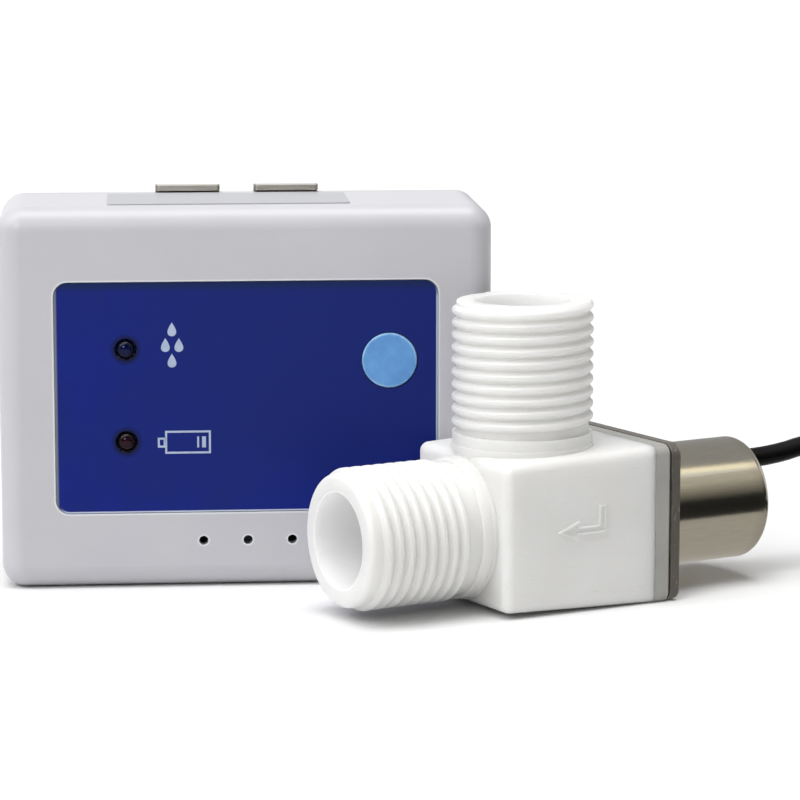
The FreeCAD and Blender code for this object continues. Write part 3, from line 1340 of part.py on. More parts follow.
GROMMET_NECK = "cord_radius + grommet_wall - core_clearance"
grommet = turned("Grommet", [
    ("grommet_start", "0"), ("grommet_start", "cord_radius + 2 * grommet_wall"),
    ("can_end - can_wall - seat_gap", "cord_radius + 2 * grommet_wall"),
    ("can_end - can_wall - seat_gap", GROMMET_NECK),
    ("grommet_end", GROMMET_NECK), ("grommet_end", "0"),
], [("Fillet", "grommet_round", size("grommet_end"),
     size("cord_radius") + size("grommet_wall") - size("core_clearance"))])
keep(grommet, "cord_grommet", LINE * FreeCAD.Placement(V(0, 0, size("cord_rise")), FreeCAD.Rotation()))
coil_leads = [
    rod("CoilLead%d" % k, ("bobbin_end", side + "coil_lead_spacing / 2", "cord_rise"),
        "coil_lead_radius", "grommet_start - bobbin_end", "x")
    for k, side in enumerate(("-", ""))
]
keep(group("CoilLeads", coil_leads), "coil_leads", LINE)

# The two-core cord: a free lead down to the floor, then the rest in a neat coil that ends in the plug.
# Its points are (along, across, up) in the valve's frame.

CORD_ROUTE = [
    (size("grommet_end"), 0.0, size("line_height") + size("cord_rise")),
    (46.0, 0.0, size("line_height") + size("cord_rise")),
    (54.0, 0.0, 19.0),
    (62.0, 0.0, 15.6),
    (68.5, 0.0, 9.6),
    (75.5, 0.0, 4.9),
    (84.8, 0.0, 1.5),
    (91.0, 0.0, 1.5),
]
ARC_SHARE = 0.45


def lead_wire(points):
    """Straight runs joined by tangent arcs, as large as the runs allow. Prints each radius."""
    edges, radii = [], []
    last = points[0]
    for before, here, after in zip(points, points[1:], points[2:]):
        run_in, run_out = here - before, after - here
        cut = ARC_SHARE * min(run_in.Length, run_out.Length)
        first, second = here - run_in * (cut / run_in.Length), here + run_out * (cut / run_out.Length)
        radii.append(cut / math.tan(run_in.getAngle(run_out) / 2))
        edges += [Part.LineSegment(last, first).toShape(), tangent_arc(first, here, second)]
        last = second
    edges.append(Part.LineSegment(last, points[-1]).toShape())
    print("cord lead radii", ["%.1f" % radius for radius in radii])
    return Part.Wire(edges)


def coil_wire(start):
    """Half turns that spiral in on the floor, climb one layer and spiral out again above."""
    straight = 2 * size("cord_radius")
    layer = V(0, 0, size("coil_layer_rise"))
    count = int(size("coil_half_turns"))
    inward = [size("coil_inner_radius") + k * size("coil_step") / 2 for k in range(count, 0, -1)]
    outward = inward[::-1]
    outward[-1] += size("coil_exit_swing")
    here, way = start + V(straight, 0, 0), V(1, 0, 0)
    edges = [Part.LineSegment(start, here).toShape()]
    for radius, climb in (
        [(radius, V(0, 0, 0)) for radius in inward]
        + [(size("coil_inner_radius"), layer)]
        + [(radius, V(0, 0, 0)) for radius in outward]
    ):
        there = here + V(0, -2 * radius * way.x, 0) + climb
        edges += biarc(here, way, there, -way)
        here, way = there, -way
    end = here + way * straight
    edges.append(Part.LineSegment(here, end).toShape())
    return Part.Wire(edges), end


def cord_piece(label, wire):
    solid = tube(wire, size("cord_radius"))
    share = solid.Volume / (math.pi * size("cord_radius") ** 2 * wire.Length)
    print("%s %.1f mm long, volume %.4f of section times length" % (label, wire.Length, share))
    return feature(label, solid, VALVE)


lead_path = lead_wire([V(*point) for point in CORD_ROUTE])
cord_piece("cord_lead", lead_path)
coil_path, coil_end = coil_wire(V(*CORD_ROUTE[-1]))
cord_piece("cord_coil", coil_path)
print("cord coil gap %.2f mm" % least_gap(coil_path, size("cord_radius")))

PLUG = VALVE * FreeCAD.Placement(coil_end, FreeCAD.Rotation(V(0, 0, 1), 180))
plug_body = turned("PlugBody", [
    ("0", "0"), ("0", "plug_neck_radius"), ("plug_neck_length", "plug_neck_end_radius"),
    ("plug_neck_length + plug_shoulder", "plug_radius"), ("plug_length", "plug_radius"), ("plug_length", "0"),
], [("Fillet", "plug_edge", size("plug_length"), size("plug_radius"))])
keep(plug_body, "plug_body", PLUG)
SLEEVE_END = "plug_length + plug_sleeve_length"
RING_END = SLEEVE_END + " + plug_ring_length"
TIP_END = RING_END + " + plug_tip_length"
PLUG_SHANK = [
    ("plug_sleeve", [("plug_length", "plug_pin_radius"), (SLEEVE_END, "plug_pin_radius")]),
    ("plug_ring", [(SLEEVE_END, "plug_pin_radius"), (RING_END, "plug_pin_radius")]),
    ("plug_tip", [(RING_END, "plug_pin_radius - plug_tip_waist"),
                  (RING_END + " + plug_tip_length / 4", "plug_pin_radius - plug_tip_waist"),
                  (RING_END + " + plug_tip_length / 2", "plug_pin_radius"), (TIP_END, "plug_tip_waist")]),
]
for label, outline in PLUG_SHANK:
    outline = [(outline[0][0], "0")] + outline + [(outline[-1][0], "0")]
    keep(turned(label + "_solid", outline), label, PLUG)

# Everything has to be sound before anything is written

doc.recompute()
failed = [item.Label for item in doc.Objects if {"Invalid", "Error"} & set(item.State)]
if failed:
    raise RuntimeError("failed objects: %s" % failed)
for label, item in pieces.items():
    if item.Shape.isNull() or not item.Shape.isValid() or not item.Shape.Solids:
        raise RuntimeError(label + " has no sound shape")
os.makedirs("parts", exist_ok=True)
for label, item in pieces.items():
    item.Shape.exportStep("parts/%s.step" % label)
print(len(pieces), "parts written")
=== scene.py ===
import math

import bmesh
import bpy
from mathutils import Matrix, Vector


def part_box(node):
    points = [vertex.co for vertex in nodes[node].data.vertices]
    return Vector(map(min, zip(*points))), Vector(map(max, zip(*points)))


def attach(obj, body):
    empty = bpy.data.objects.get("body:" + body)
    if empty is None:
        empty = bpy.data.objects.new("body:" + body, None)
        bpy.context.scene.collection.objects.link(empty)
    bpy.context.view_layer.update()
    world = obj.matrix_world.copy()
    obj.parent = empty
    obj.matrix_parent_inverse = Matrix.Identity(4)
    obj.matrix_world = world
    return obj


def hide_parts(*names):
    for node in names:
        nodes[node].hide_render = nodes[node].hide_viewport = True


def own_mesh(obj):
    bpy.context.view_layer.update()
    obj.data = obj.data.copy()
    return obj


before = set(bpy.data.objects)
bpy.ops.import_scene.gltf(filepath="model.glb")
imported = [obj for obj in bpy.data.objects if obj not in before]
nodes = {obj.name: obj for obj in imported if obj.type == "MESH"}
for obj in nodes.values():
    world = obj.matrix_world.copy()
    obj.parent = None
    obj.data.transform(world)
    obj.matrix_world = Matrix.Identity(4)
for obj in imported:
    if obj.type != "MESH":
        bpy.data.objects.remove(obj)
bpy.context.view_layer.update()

# The camera stands in front of the box, a little to the left and above, as in the photograph.
# Lengths with MM after them, and those in materials and drawn meshes, are in millimetres. The cord's route
# and the stage are in metres.
MM = 0.001
CAMERA_PLACE = Vector((-16.614, -517.55, 108.03)) * MM
CAMERA_YAW = math.radians(4.474)
CAMERA_PITCH = math.radians(8.977)
camera_data = bpy.data.cameras.new("studio_camera")
camera_data.sensor_width = 36.0
camera_data.lens = 154.0
camera_data.clip_start = 0.01
camera_data.clip_end = 20.0
camera = bpy.data.objects.new("studio_camera", camera_data)
camera.location = CAMERA_PLACE
camera.rotation_euler = (math.pi / 2 - CAMERA_PITCH, 0.0, -CAMERA_YAW)
bpy.context.scene.collection.objects.link(camera)
bpy.context.scene.camera = camera

# The cord is a two-core lead in a soft black vinyl jacket, extruded round. It leaves the can through its
# grommet, drops to the floor, and the rest is wound in a neat coil of two layers that ends in the plug.
VALVE_TURN = math.radians(26.0)
VALVE_PLACE = Vector((40.0, -24.2, 0.0)) * MM
VALVE = Matrix.Translation(VALVE_PLACE) @ Matrix.Rotation(VALVE_TURN, 4, "Z")
CORD_RADIUS = 1.5 * MM
# The lead's way from the can to the floor in the valve's own frame: along the solenoid, across and up
CORD_ROUTE = [
    (0.0402, 0.0, 0.0173),
    (0.0460, 0.0, 0.0173),
    (0.0540, 0.0, 0.0190),
    (0.0620, 0.0, 0.0156),
    (0.0685, 0.0, 0.0096),
    (0.0755, 0.0, 0.0049),
    (0.0848, 0.0, 0.0015),
    (0.0910, 0.0, 0.0015),
]
COIL_INNER_RADIUS = 11.25 * MM
COIL_STEP = 3.5 * MM
COIL_RISE = 3.45 * MM
COIL_HALF_TURNS = 7
COIL_EXIT_SWING = 1.5 * MM
COIL_POINTS = 14


def coil_route(start):
    """Half turns that spiral in on the floor, climb one layer and spiral out again above."""
    inward = [COIL_INNER_RADIUS + k * COIL_STEP / 2 for k in range(COIL_HALF_TURNS, 0, -1)]
    outward = inward[::-1]
    outward[-1] += COIL_EXIT_SWING
    turns = [(radius, 0.0) for radius in inward] + [(COIL_INNER_RADIUS, COIL_RISE)]
    turns += [(radius, 0.0) for radius in outward]
    here = Vector(start) + Vector((2 * CORD_RADIUS, 0.0, 0.0))
    side = 1
    points = []
    for radius, climb in turns:
        middle = here - Vector((0.0, side * radius, 0.0))
        for k in range(COIL_POINTS):
            share = (k + 0.5) / COIL_POINTS
            angle = math.pi * share
            reach = radius / math.cos(math.pi / COIL_POINTS / 2)
            points.append(middle + Vector((side * reach * math.sin(angle), side * reach * math.cos(angle),
                                           climb * share)))
        here = middle + Vector((0.0, -side * radius, climb))
        side = -side
    return points + [here, here + Vector((side * 2 * CORD_RADIUS, 0.0, 0.0))]


cord_points = [VALVE @ Vector(point) for point in CORD_ROUTE + coil_route(CORD_ROUTE[-1])]
cord_curve = bpy.data.curves.new("valve_cord", "CURVE")
cord_curve.dimensions = "3D"
cord_curve.bevel_depth = 1.0
cord_curve.bevel_resolution = 5
cord_curve.resolution_u = 5
cord_curve.use_fill_caps = True
spline = cord_curve.splines.new("NURBS")
spline.points.add(len(cord_points) - 1)
for point, place in zip(spline.points, cord_points):
    point.co = (*place, 1.0)
    point.radius = CORD_RADIUS
spline.order_u = 3
spline.use_endpoint_u = True
valve_cord = bpy.data.objects.new("valve_cord", cord_curve)
bpy.context.scene.collection.objects.link(valve_cord)
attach(valve_cord, "detector")
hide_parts("cord_lead", "cord_coil")


def paint(red, green, blue):
    """A colour of the screen's 0 to 255 scale as the shader wants it."""
    light = [((c / 255 + 0.055) / 1.055) ** 2.4 if c > 10 else c / 255 / 12.92 for c in (red, green, blue)]
    return (*light, 1.0)


def connect(tree, inputs, values):
    """Each named input gets its value, or a link where the value is another node's socket."""
    for name, value in values.items():
        if isinstance(value, bpy.types.NodeSocket):
            tree.links.new(value, inputs[name])
        else:
            inputs[name].default_value = value


def add(tree, kind, values=None, **settings):
    """One shader node. The values go to its inputs, and the settings are its own properties."""
    made = tree.nodes.new("ShaderNode" + kind)
    for name, value in settings.items():
        setattr(made, name, value)
    connect(tree, made.inputs, values or {})
    return made


def blend(tree, share, first, second):
    """One colour turning into the other. A Mix node's colours are its inputs 6 and 7 and its output 2."""
    return add(tree, "Mix", {0: share, 6: first, 7: second}, data_type="RGBA").outputs[2]


def between(tree, value, low, high):
    """low where a value is 0 and high where it is 1."""
    return add(tree, "Math", {0: value, 1: high - low, 2: low}, operation="MULTIPLY_ADD").outputs[0]


def new_material(name):
    """A material with a Principled shader. Returns it, its nodes and the shader's inputs."""
    material = bpy.data.materials.new(name)
    material.use_nodes = True
    tree = material.node_tree
    tree.nodes.clear()
    shader = add(tree, "BsdfPrincipled")
    add(tree, "OutputMaterial", {"Surface": shader.outputs[0]})
    return material, tree, shader.inputs


def millimetres(tree, centre=(0.0, 0.0, 0.0), turn=0.0):
    """The object's coordinates in millimetres, from a centre and turned about the vertical."""
    source = add(tree, "TexCoord").outputs["Object"]
    return add(tree, "Mapping", {"Vector": source, "Location": centre, "Rotation": (0.0, 0.0, turn),
                                 "Scale": (MM, MM, MM)}, vector_type="TEXTURE").outputs[0]


def new_group(name, inputs, outputs):
    """A shader group with named sockets. Returns it with what goes in and what comes out."""
    tree = bpy.data.node_groups.new(name, "ShaderNodeTree")
    for label, kind, value in inputs:
        socket = tree.interface.new_socket(label, in_out="INPUT", socket_type="NodeSocket" + kind)
        socket.default_value = value
    for label in outputs:
        tree.interface.new_socket(label, in_out="OUTPUT", socket_type="NodeSocketFloat")
    return tree, tree.nodes.new("NodeGroupInput").outputs, tree.nodes.new("NodeGroupOutput").inputs


def use(tree, group, values):
    """A group placed in a material with its own values."""
    made = tree.nodes.new("ShaderNodeGroup")
    made.node_tree = group
    connect(tree, made.inputs, values)
    return made.outputs


def relief(tree, height, depth):
    """A bump whose highest points stand depth millimetres above its lowest."""
    return add(tree, "Bump", {"Height": height, "Distance": depth * MM, "Strength": 1.0}).outputs[0]


# The skin of a moulding or a jacket: a fine grain and wide soft patches, each of its own size
moulded_skin, given, made = new_group(
    "moulded_skin",
    [("Place", "Vector", (0.0, 0.0, 0.0)), ("Grain", "Float", 0.3), ("Patch", "Float", 8.0)],
    ["Fine", "Broad"],
)
for label, span, detail in (("Fine", "Grain", 3.0), ("Broad", "Patch", 2.0)):
    scaled = add(moulded_skin, "VectorMath", {0: given["Place"], 1: given[span]}, operation="DIVIDE")
    noise = add(moulded_skin, "TexNoise", {"Vector": scaled.outputs[0], "Scale": 1.0, "Detail": detail})
    moulded_skin.links.new(noise.outputs[0], made[label])

cord_jacket, tree, shader = new_material("black_vinyl_jacket")
skin = use(tree, moulded_skin, {"Place": millimetres(tree), "Grain": 0.5, "Patch": 6.0})
connect(tree, shader, {
    "Base Color": blend(tree, skin["Broad"], paint(6, 5, 6), paint(15, 13, 15)),
    "Roughness": between(tree, skin["Broad"], 0.24, 0.44),
    "Normal": relief(tree, skin["Fine"], 0.03),
    "Specular IOR Level": 0.12,
})
cord_curve.materials.append(cord_jacket)

# The front cover is one deep shell, injection moulded in pale grey ABS with a fine eroded skin.
# Its film seat, lamp, button and sound holes are moulded in, and the seam runs round behind it.
SEAM_Y = 10.5
FILM_MIDDLE = (0.0, 0.0, 28.8)
FILM_HALF = (28.5, 17.3)
FILM_CORNER = 2.0
SOUND_HOLES = [(across, 0.0, 7.1) for across in (-6.65, 0.0, 6.65)]
SOUND_HOLE_RADIUS = 0.7
FRONT_Y = -12.9


def maths(tree, operation, first, second=0.0):
    return add(tree, "Math", {0: first, 1: second}, operation=operation).outputs[0]


def ramp(tree, value, low, high, smooth=False):
    """0 below low and 1 above high. With low above high it falls."""
    kind = "SMOOTHSTEP" if smooth else "LINEAR"
    flip = low > high
    edges = {"From Min": high if flip else low, "From Max": low if flip else high}
    ends = {"To Min": 1.0 if flip else 0.0, "To Max": 0.0 if flip else 1.0}
    return add(tree, "MapRange", {"Value": value, **edges, **ends}, interpolation_type=kind).outputs[0]


def over(tree, colour, mask, share, top):
    """A colour laid over another where a mask is 1, at a share of its full strength."""
    return blend(tree, maths(tree, "MULTIPLY", mask, share), colour, top)


def split(tree, place):
    return add(tree, "SeparateXYZ", {0: place}).outputs


def apart(tree, place, centre, flat=None):
    """The distance from a point in millimetres, or from a line along the axis named flat."""
    keep = [0.0 if letter == flat else 1.0 for letter in "xyz"]
    moved = add(tree, "VectorMath", {0: place, 1: centre}, operation="SUBTRACT").outputs[0]
    pressed = add(tree, "VectorMath", {0: moved, 1: keep}, operation="MULTIPLY").outputs[0]
    return add(tree, "VectorMath", {0: pressed}, operation="LENGTH").outputs["Value"]


def finish(material, *names):
    for name in names:
        nodes[name].material_slots[0].material = material


# Edges that hands and boxes rub: where a softened normal leaves the true one, broken up by noise
rubbed_edges, given, made = new_group(
    "rubbed_edges",
    [("Place", "Vector", (0.0, 0.0, 0.0)), ("Reach", "Float", 0.0004), ("Patch", "Float", 3.0)],
    ["Rubbed"],
)
softened = add(rubbed_edges, "Bevel", {"Radius": given["Reach"]}, samples=4)
true_normal = add(rubbed_edges, "NewGeometry").outputs["Normal"]
match = add(rubbed_edges, "VectorMath", {0: softened.outputs[0], 1: true_normal}, operation="DOT_PRODUCT")
edge = ramp(rubbed_edges, match.outputs["Value"], 0.995, 0.85)
scaled = add(rubbed_edges, "VectorMath", {0: given["Place"], 1: given["Patch"]}, operation="DIVIDE")
noise = add(rubbed_edges, "TexNoise", {"Vector": scaled.outputs[0], "Scale": 1.0, "Detail": 4.0})
broken = ramp(rubbed_edges, noise.outputs[0], 0.35, 0.65)
rubbed_edges.links.new(maths(rubbed_edges, "MULTIPLY", edge, broken), made["Rubbed"])


def away(tree, value, middle):
    """How far a value lies from its middle one, either way."""
    return maths(tree, "ABSOLUTE", maths(tree, "SUBTRACT", value, middle))


def nearest(tree, place, centres, flat):
    """The distance to the nearest of several lines along one axis."""
    reach = apart(tree, place, centres[0], flat)
    for centre in centres[1:]:
        reach = maths(tree, "MINIMUM", reach, apart(tree, place, centre, flat))
    return reach


def from_outline(tree, place):
    """How far a point of the front lies outside the film's rounded outline, in millimetres."""
    middle = add(tree, "VectorMath", {0: place, 1: FILM_MIDDLE}, operation="SUBTRACT").outputs[0]
    folded = split(tree, add(tree, "VectorMath", {0: middle}, operation="ABSOLUTE").outputs[0])
    past_side = maths(tree, "SUBTRACT", folded["X"], FILM_HALF[0] - FILM_CORNER)
    past_end = maths(tree, "SUBTRACT", folded["Z"], FILM_HALF[1] - FILM_CORNER)
    side, end = maths(tree, "MAXIMUM", past_side, 0.0), maths(tree, "MAXIMUM", past_end, 0.0)
    corner = maths(tree, "SQRT", maths(tree, "ADD", maths(tree, "MULTIPLY", side, side),
                                       maths(tree, "MULTIPLY", end, end)))
    inner = maths(tree, "MINIMUM", maths(tree, "MAXIMUM", past_side, past_end), 0.0)
    return maths(tree, "SUBTRACT", maths(tree, "ADD", corner, inner), FILM_CORNER)


def case_plastic(name, grain):
    """Pale grey ABS: its seam gathers a little dust, and a painted highlight lies along the edges of its
    holes and of the seat.
    """
    material, tree, shader = new_material(name)
    place = millimetres(tree)
    skin = use(tree, moulded_skin, {"Place": place, "Grain": grain, "Patch": 16.0})
    rubbed = use(tree, rubbed_edges, {"Place": place, "Reach": 0.5 * MM, "Patch": 4.0})["Rubbed"]
    seam = ramp(tree, away(tree, split(tree, place)["Y"], SEAM_Y), 0.09, 0.02)
    off = from_outline(tree, place)
    front = ramp(tree, split(tree, place)["Y"], FRONT_Y + 0.7, FRONT_Y + 0.4)
    # Painted highlight: a pale line round the film's seat and round each sound hole, where their edges catch
    # the light.
    seat_rim = maths(tree, "MULTIPLY", ramp(tree, off, 0.45, 0.25), ramp(tree, off, 0.05, 0.12))
    hole = nearest(tree, place, SOUND_HOLES, "y")
    hole_rim = ramp(tree, hole, SOUND_HOLE_RADIUS + 0.3, SOUND_HOLE_RADIUS + 0.08)
    painted_rim_highlight = maths(tree, "MULTIPLY", maths(tree, "MAXIMUM", seat_rim, hole_rim), front)
    # The pale mask holds that painted highlight together with the paler rubbed edges.
    pale = maths(tree, "MAXIMUM", painted_rim_highlight, maths(tree, "MULTIPLY", rubbed, 0.35))
    colour = blend(tree, skin["Broad"], paint(193, 192, 198), paint(201, 200, 204))
    colour = over(tree, colour, ramp(tree, skin["Fine"], 0.62, 0.75), 0.12, paint(170, 169, 176))
    colour = over(tree, colour, pale, 0.8, paint(230, 234, 238))
    colour = over(tree, colour, seam, 0.7, paint(92, 91, 96))
    height = maths(tree, "SUBTRACT", maths(tree, "MULTIPLY", skin["Fine"], 0.25), seam)
    rough = between(tree, skin["Broad"], 0.32, 0.46)
    connect(tree, shader, {
        "Base Color": colour,
        "Roughness": maths(tree, "SUBTRACT", rough, maths(tree, "MULTIPLY", rubbed, 0.1)),
        "Normal": relief(tree, height, 0.06),
    })
    return material


grey_case = case_plastic("grey_abs", 0.22)
finish(grey_case, "front_cover")

# The label is a 0.4 mm polycarbonate film, die cut, with blue ink screen printed on its back. A painted
# highlight lies along its lower and right cut edges. It is glued in the cover's seat.
LAMP_ACROSS = -18.0
LAMP_HEIGHTS = (36.1, 22.2)
LAMP_MIDDLES = [(LAMP_ACROSS, 0.0, height) for height in LAMP_HEIGHTS]
HALO_RADIUS = 2.6
FILM_LEFT = FILM_MIDDLE[0] - FILM_HALF[0]
FILM_TOP = FILM_MIDDLE[2] + FILM_HALF[1]

blue_film, tree, shader = new_material("blue_printed_film")
place = millimetres(tree)
skin = use(tree, moulded_skin, {"Place": place, "Grain": 0.35, "Patch": 13.0})
across, height = split(tree, place)["X"], split(tree, place)["Z"]
off = from_outline(tree, place)
# Painted light: the film's blue is painted brighter towards its left and its lower part.
left_share = ramp(tree, across, 4.0, -30.0, smooth=True)
low_share = ramp(tree, height, 26.0, 10.0, smooth=True)
bright = maths(tree, "MULTIPLY", maths(tree, "MAXIMUM", left_share, low_share),
               ramp(tree, skin["Broad"], 0.3, 0.62))
colour = blend(tree, bright, paint(13, 33, 113), paint(8, 32, 126))
# Painted shade: a darker band along the film's top, under the upper edge of the seat.
painted_top_shade = ramp(tree, height, FILM_TOP - 1.6, FILM_TOP - 0.3, smooth=True)
colour = over(tree, colour, painted_top_shade, 0.8, paint(15, 36, 78))
# Painted shade: a soft dark ring round each lamp's window.
painted_lamp_shade = ramp(tree, nearest(tree, place, LAMP_MIDDLES, "y"), HALO_RADIUS, HALO_RADIUS - 1.0, smooth=True)
colour = over(tree, colour, painted_lamp_shade, 0.75, paint(5, 9, 32))
shaded_edge = ramp(tree, across, FILM_LEFT + 0.42, FILM_LEFT + 0.16)
colour = over(tree, colour, shaded_edge, 0.8, paint(132, 138, 142))
# Painted highlight along the film's lower and right edges, where the walls of the seat catch the light.
painted_cut_edge_highlight = maths(tree, "MULTIPLY", ramp(tree, off, -0.24, -0.12),
                 maths(tree, "MULTIPLY", ramp(tree, height, FILM_TOP - 1.0, FILM_TOP - 2.5),
                       ramp(tree, across, FILM_LEFT + 0.5, FILM_LEFT + 1.5)))
colour = over(tree, colour, painted_cut_edge_highlight, 0.85, paint(214, 222, 240))
connect(tree, shader, {
    "Base Color": colour,
    "Roughness": between(tree, skin["Broad"], 0.38, 0.54),
    "Normal": relief(tree, maths(tree, "ADD", maths(tree, "MULTIPLY", skin["Broad"], 4.0), skin["Fine"]),
                     0.008),
    "Specular IOR Level": 0.15,
})
finish(blue_film, "label_film")

# Two printed signs tell the lamps apart: four drops for water and a flat cell for the battery.
# They are pale ink on the film, a few hundredths of a millimetre thick.
FILM_FACE_Y = -12.8
INK_THICKNESS = 0.03
# Places are across and up, and a box is its left, low, right and high edges
DROP_TIPS = [(-11.12, 40.16), (-12.1, 37.82), (-10.09, 37.8), (-11.14, 35.47)]
DROP_HEIGHT = 2.1
DROP_WIDTH = 1.3
DROP_SIDES = 32
DROP_POINT = 0.7
CELL_SIGN = (-12.28, 20.35, -5.46, 23.82)
CELL_NUB = (-13.37, 21.3, -12.2, 22.8)
CELL_LINE = 0.3
CELL_BARS = [(-7.5, 21.25, -7.22, 22.92), (-6.78, 21.25, -6.2, 22.92)]


def new_piece(name, mesh, material):
    """A finished mesh as a fixed piece of the object."""
    data = bpy.data.meshes.new(name)
    mesh.to_mesh(data)
    mesh.free()
    data.materials.append(material)
    piece = bpy.data.objects.new(name, data)
    bpy.context.scene.collection.objects.link(piece)
    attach(piece, "detector")
    return piece


def thicken(mesh, faces, thickness):
    """Flat faces drawn up into a plate. The first faces stay as its back."""
    drawn = bmesh.ops.extrude_face_region(mesh, geom=faces, use_keep_orig=True)
    lifted = [item for item in drawn["geom"] if isinstance(item, bmesh.types.BMVert)]
    bmesh.ops.translate(mesh, verts=lifted, vec=(0.0, 0.0, thickness))
    bmesh.ops.reverse_faces(mesh, faces=faces)


def draw_drop(mesh, tip):
    """A circle drawn in towards its top until it is a pointed drop."""
    before = set(mesh.faces)
    bmesh.ops.create_circle(mesh, cap_ends=True, radius=1.0, segments=DROP_SIDES)
    faces = [face for face in mesh.faces if face not in before]
    for vert in faces[0].verts:
        vert.co.x *= ((1 - vert.co.y) / 2) ** DROP_POINT
    widest = max(vert.co.x for vert in faces[0].verts)
    bmesh.ops.scale(mesh, verts=faces[0].verts, vec=(DROP_WIDTH / 2 / widest, DROP_HEIGHT / 2, 1.0))
    bmesh.ops.translate(mesh, verts=faces[0].verts, vec=(tip[0], tip[1] - DROP_HEIGHT / 2, 0.0))
    thicken(mesh, faces, INK_THICKNESS)


def draw_plate(mesh, left, low, right, high, line=None):
    """A filled rectangle, or only its outline when a line's width is given."""
    before = set(mesh.faces)
    bmesh.ops.create_grid(mesh, x_segments=1, y_segments=1, size=0.5)
    faces = [face for face in mesh.faces if face not in before]
    corners = faces[0].verts
    bmesh.ops.scale(mesh, verts=corners, vec=(right - left, high - low, 1.0))
    bmesh.ops.translate(mesh, verts=corners, vec=((left + right) / 2, (low + high) / 2, 0.0))
    if line:
        ring = bmesh.ops.inset_region(mesh, faces=faces, thickness=line, use_boundary=True,
                                      use_even_offset=True)["faces"]
        bmesh.ops.delete(mesh, geom=faces, context="FACES")
        faces = ring
    thicken(mesh, faces, INK_THICKNESS)


def onto_front(mesh):
    """A drawing in the XY plane stood up on the film's face."""
    stood = Matrix.Translation((0.0, FILM_FACE_Y, 0.0)) @ Matrix.Rotation(math.pi / 2, 4, "X")
    bmesh.ops.transform(mesh, verts=mesh.verts, matrix=Matrix.Scale(MM, 4) @ stood)


pale_ink, tree, shader = new_material("pale_ink")
skin = use(tree, moulded_skin, {"Place": millimetres(tree), "Grain": 0.12, "Patch": 1.2})
connect(tree, shader, {
    "Base Color": blend(tree, skin["Broad"], paint(158, 174, 204), paint(188, 200, 222)),
    "Roughness": between(tree, skin["Fine"], 0.45, 0.65),
    "Normal": relief(tree, skin["Fine"], 0.01),
})
drops = bmesh.new()
for tip in DROP_TIPS:
    draw_drop(drops, tip)
onto_front(drops)
new_piece("sign_water_drops", drops, pale_ink)
cell_sign = bmesh.new()
draw_plate(cell_sign, *CELL_SIGN, CELL_LINE)
draw_plate(cell_sign, *CELL_NUB, CELL_LINE)
for bar in CELL_BARS:
    draw_plate(cell_sign, *bar)
onto_front(cell_sign)
new_piece("sign_battery", cell_sign, pale_ink)

# The two lamps are 3 mm LEDs cast in tinted epoxy, one blue and one red. Unlit they look nearly black,
# with the paler reflector cup deep in the middle. Their tinned leads go through the board.
CUP_RADIUS = 1.15
LENS_TINTS = [
    ("blue_lens", "leak_lamp", LAMP_MIDDLES[0], paint(2, 6, 32), paint(8, 18, 76)),
    ("red_lens", "battery_lamp", LAMP_MIDDLES[1], paint(9, 3, 10), paint(54, 14, 32)),
]
for name, node, centre, rim_colour, cup_colour in LENS_TINTS:
    material, tree, shader = new_material(name)
    place = millimetres(tree)
    skin = use(tree, moulded_skin, {"Place": place, "Grain": 0.3, "Patch": 1.0})
    cup = ramp(tree, apart(tree, place, centre, "y"), CUP_RADIUS, CUP_RADIUS - 0.8, smooth=True)
    cup = maths(tree, "MULTIPLY", cup, skin["Broad"])
    connect(tree, shader, {
        "Base Color": blend(tree, cup, rim_colour, cup_colour),
        "Roughness": between(tree, skin["Broad"], 0.04, 0.12),
        "Normal": relief(tree, skin["Broad"], 0.01),
        "Specular IOR Level": 0.15,
    })
    finish(material, node)


def bright_metal(name, dull, bright, grain, roughness):
    """Plated or bare wire and sheet: metal with stains that make it duller and rougher."""
    material, tree, shader = new_material(name)
    place = millimetres(tree)
    skin = use(tree, moulded_skin, {"Place": place, "Grain": grain, "Patch": 6 * grain})
    rubbed = use(tree, rubbed_edges, {"Place": place, "Reach": 0.15 * MM, "Patch": 1.0})["Rubbed"]
    colour = blend(tree, ramp(tree, skin["Broad"], 0.3, 0.7), dull, bright)
    connect(tree, shader, {
        "Base Color": over(tree, colour, rubbed, 0.5, paint(240, 238, 232)),
        "Metallic": 1.0,
        "Roughness": between(tree, skin["Broad"], roughness, roughness - 0.16),
        "Normal": relief(tree, skin["Fine"], 0.01),
    })
    return material


tinned_wire = bright_metal("tinned_wire", paint(150, 150, 152), paint(206, 206, 204), 0.3, 0.38)
finish(tinned_wire, "lamp_leads")

# The button is a cap turned from soft light-blue plastic, its face a little blotched by the mould and a
# painted highlight round its edge. It slides in the front cover and rests on the stem of the switch.
BUTTON_MIDDLE = (21.3, 0.0, 34.1)
BUTTON_RADIUS = 4.12

material, tree, shader = new_material("light_blue_button")
place = millimetres(tree)
skin = use(tree, moulded_skin, {"Place": place, "Grain": 0.16, "Patch": 2.4})
from_middle = apart(tree, place, BUTTON_MIDDLE, "y")
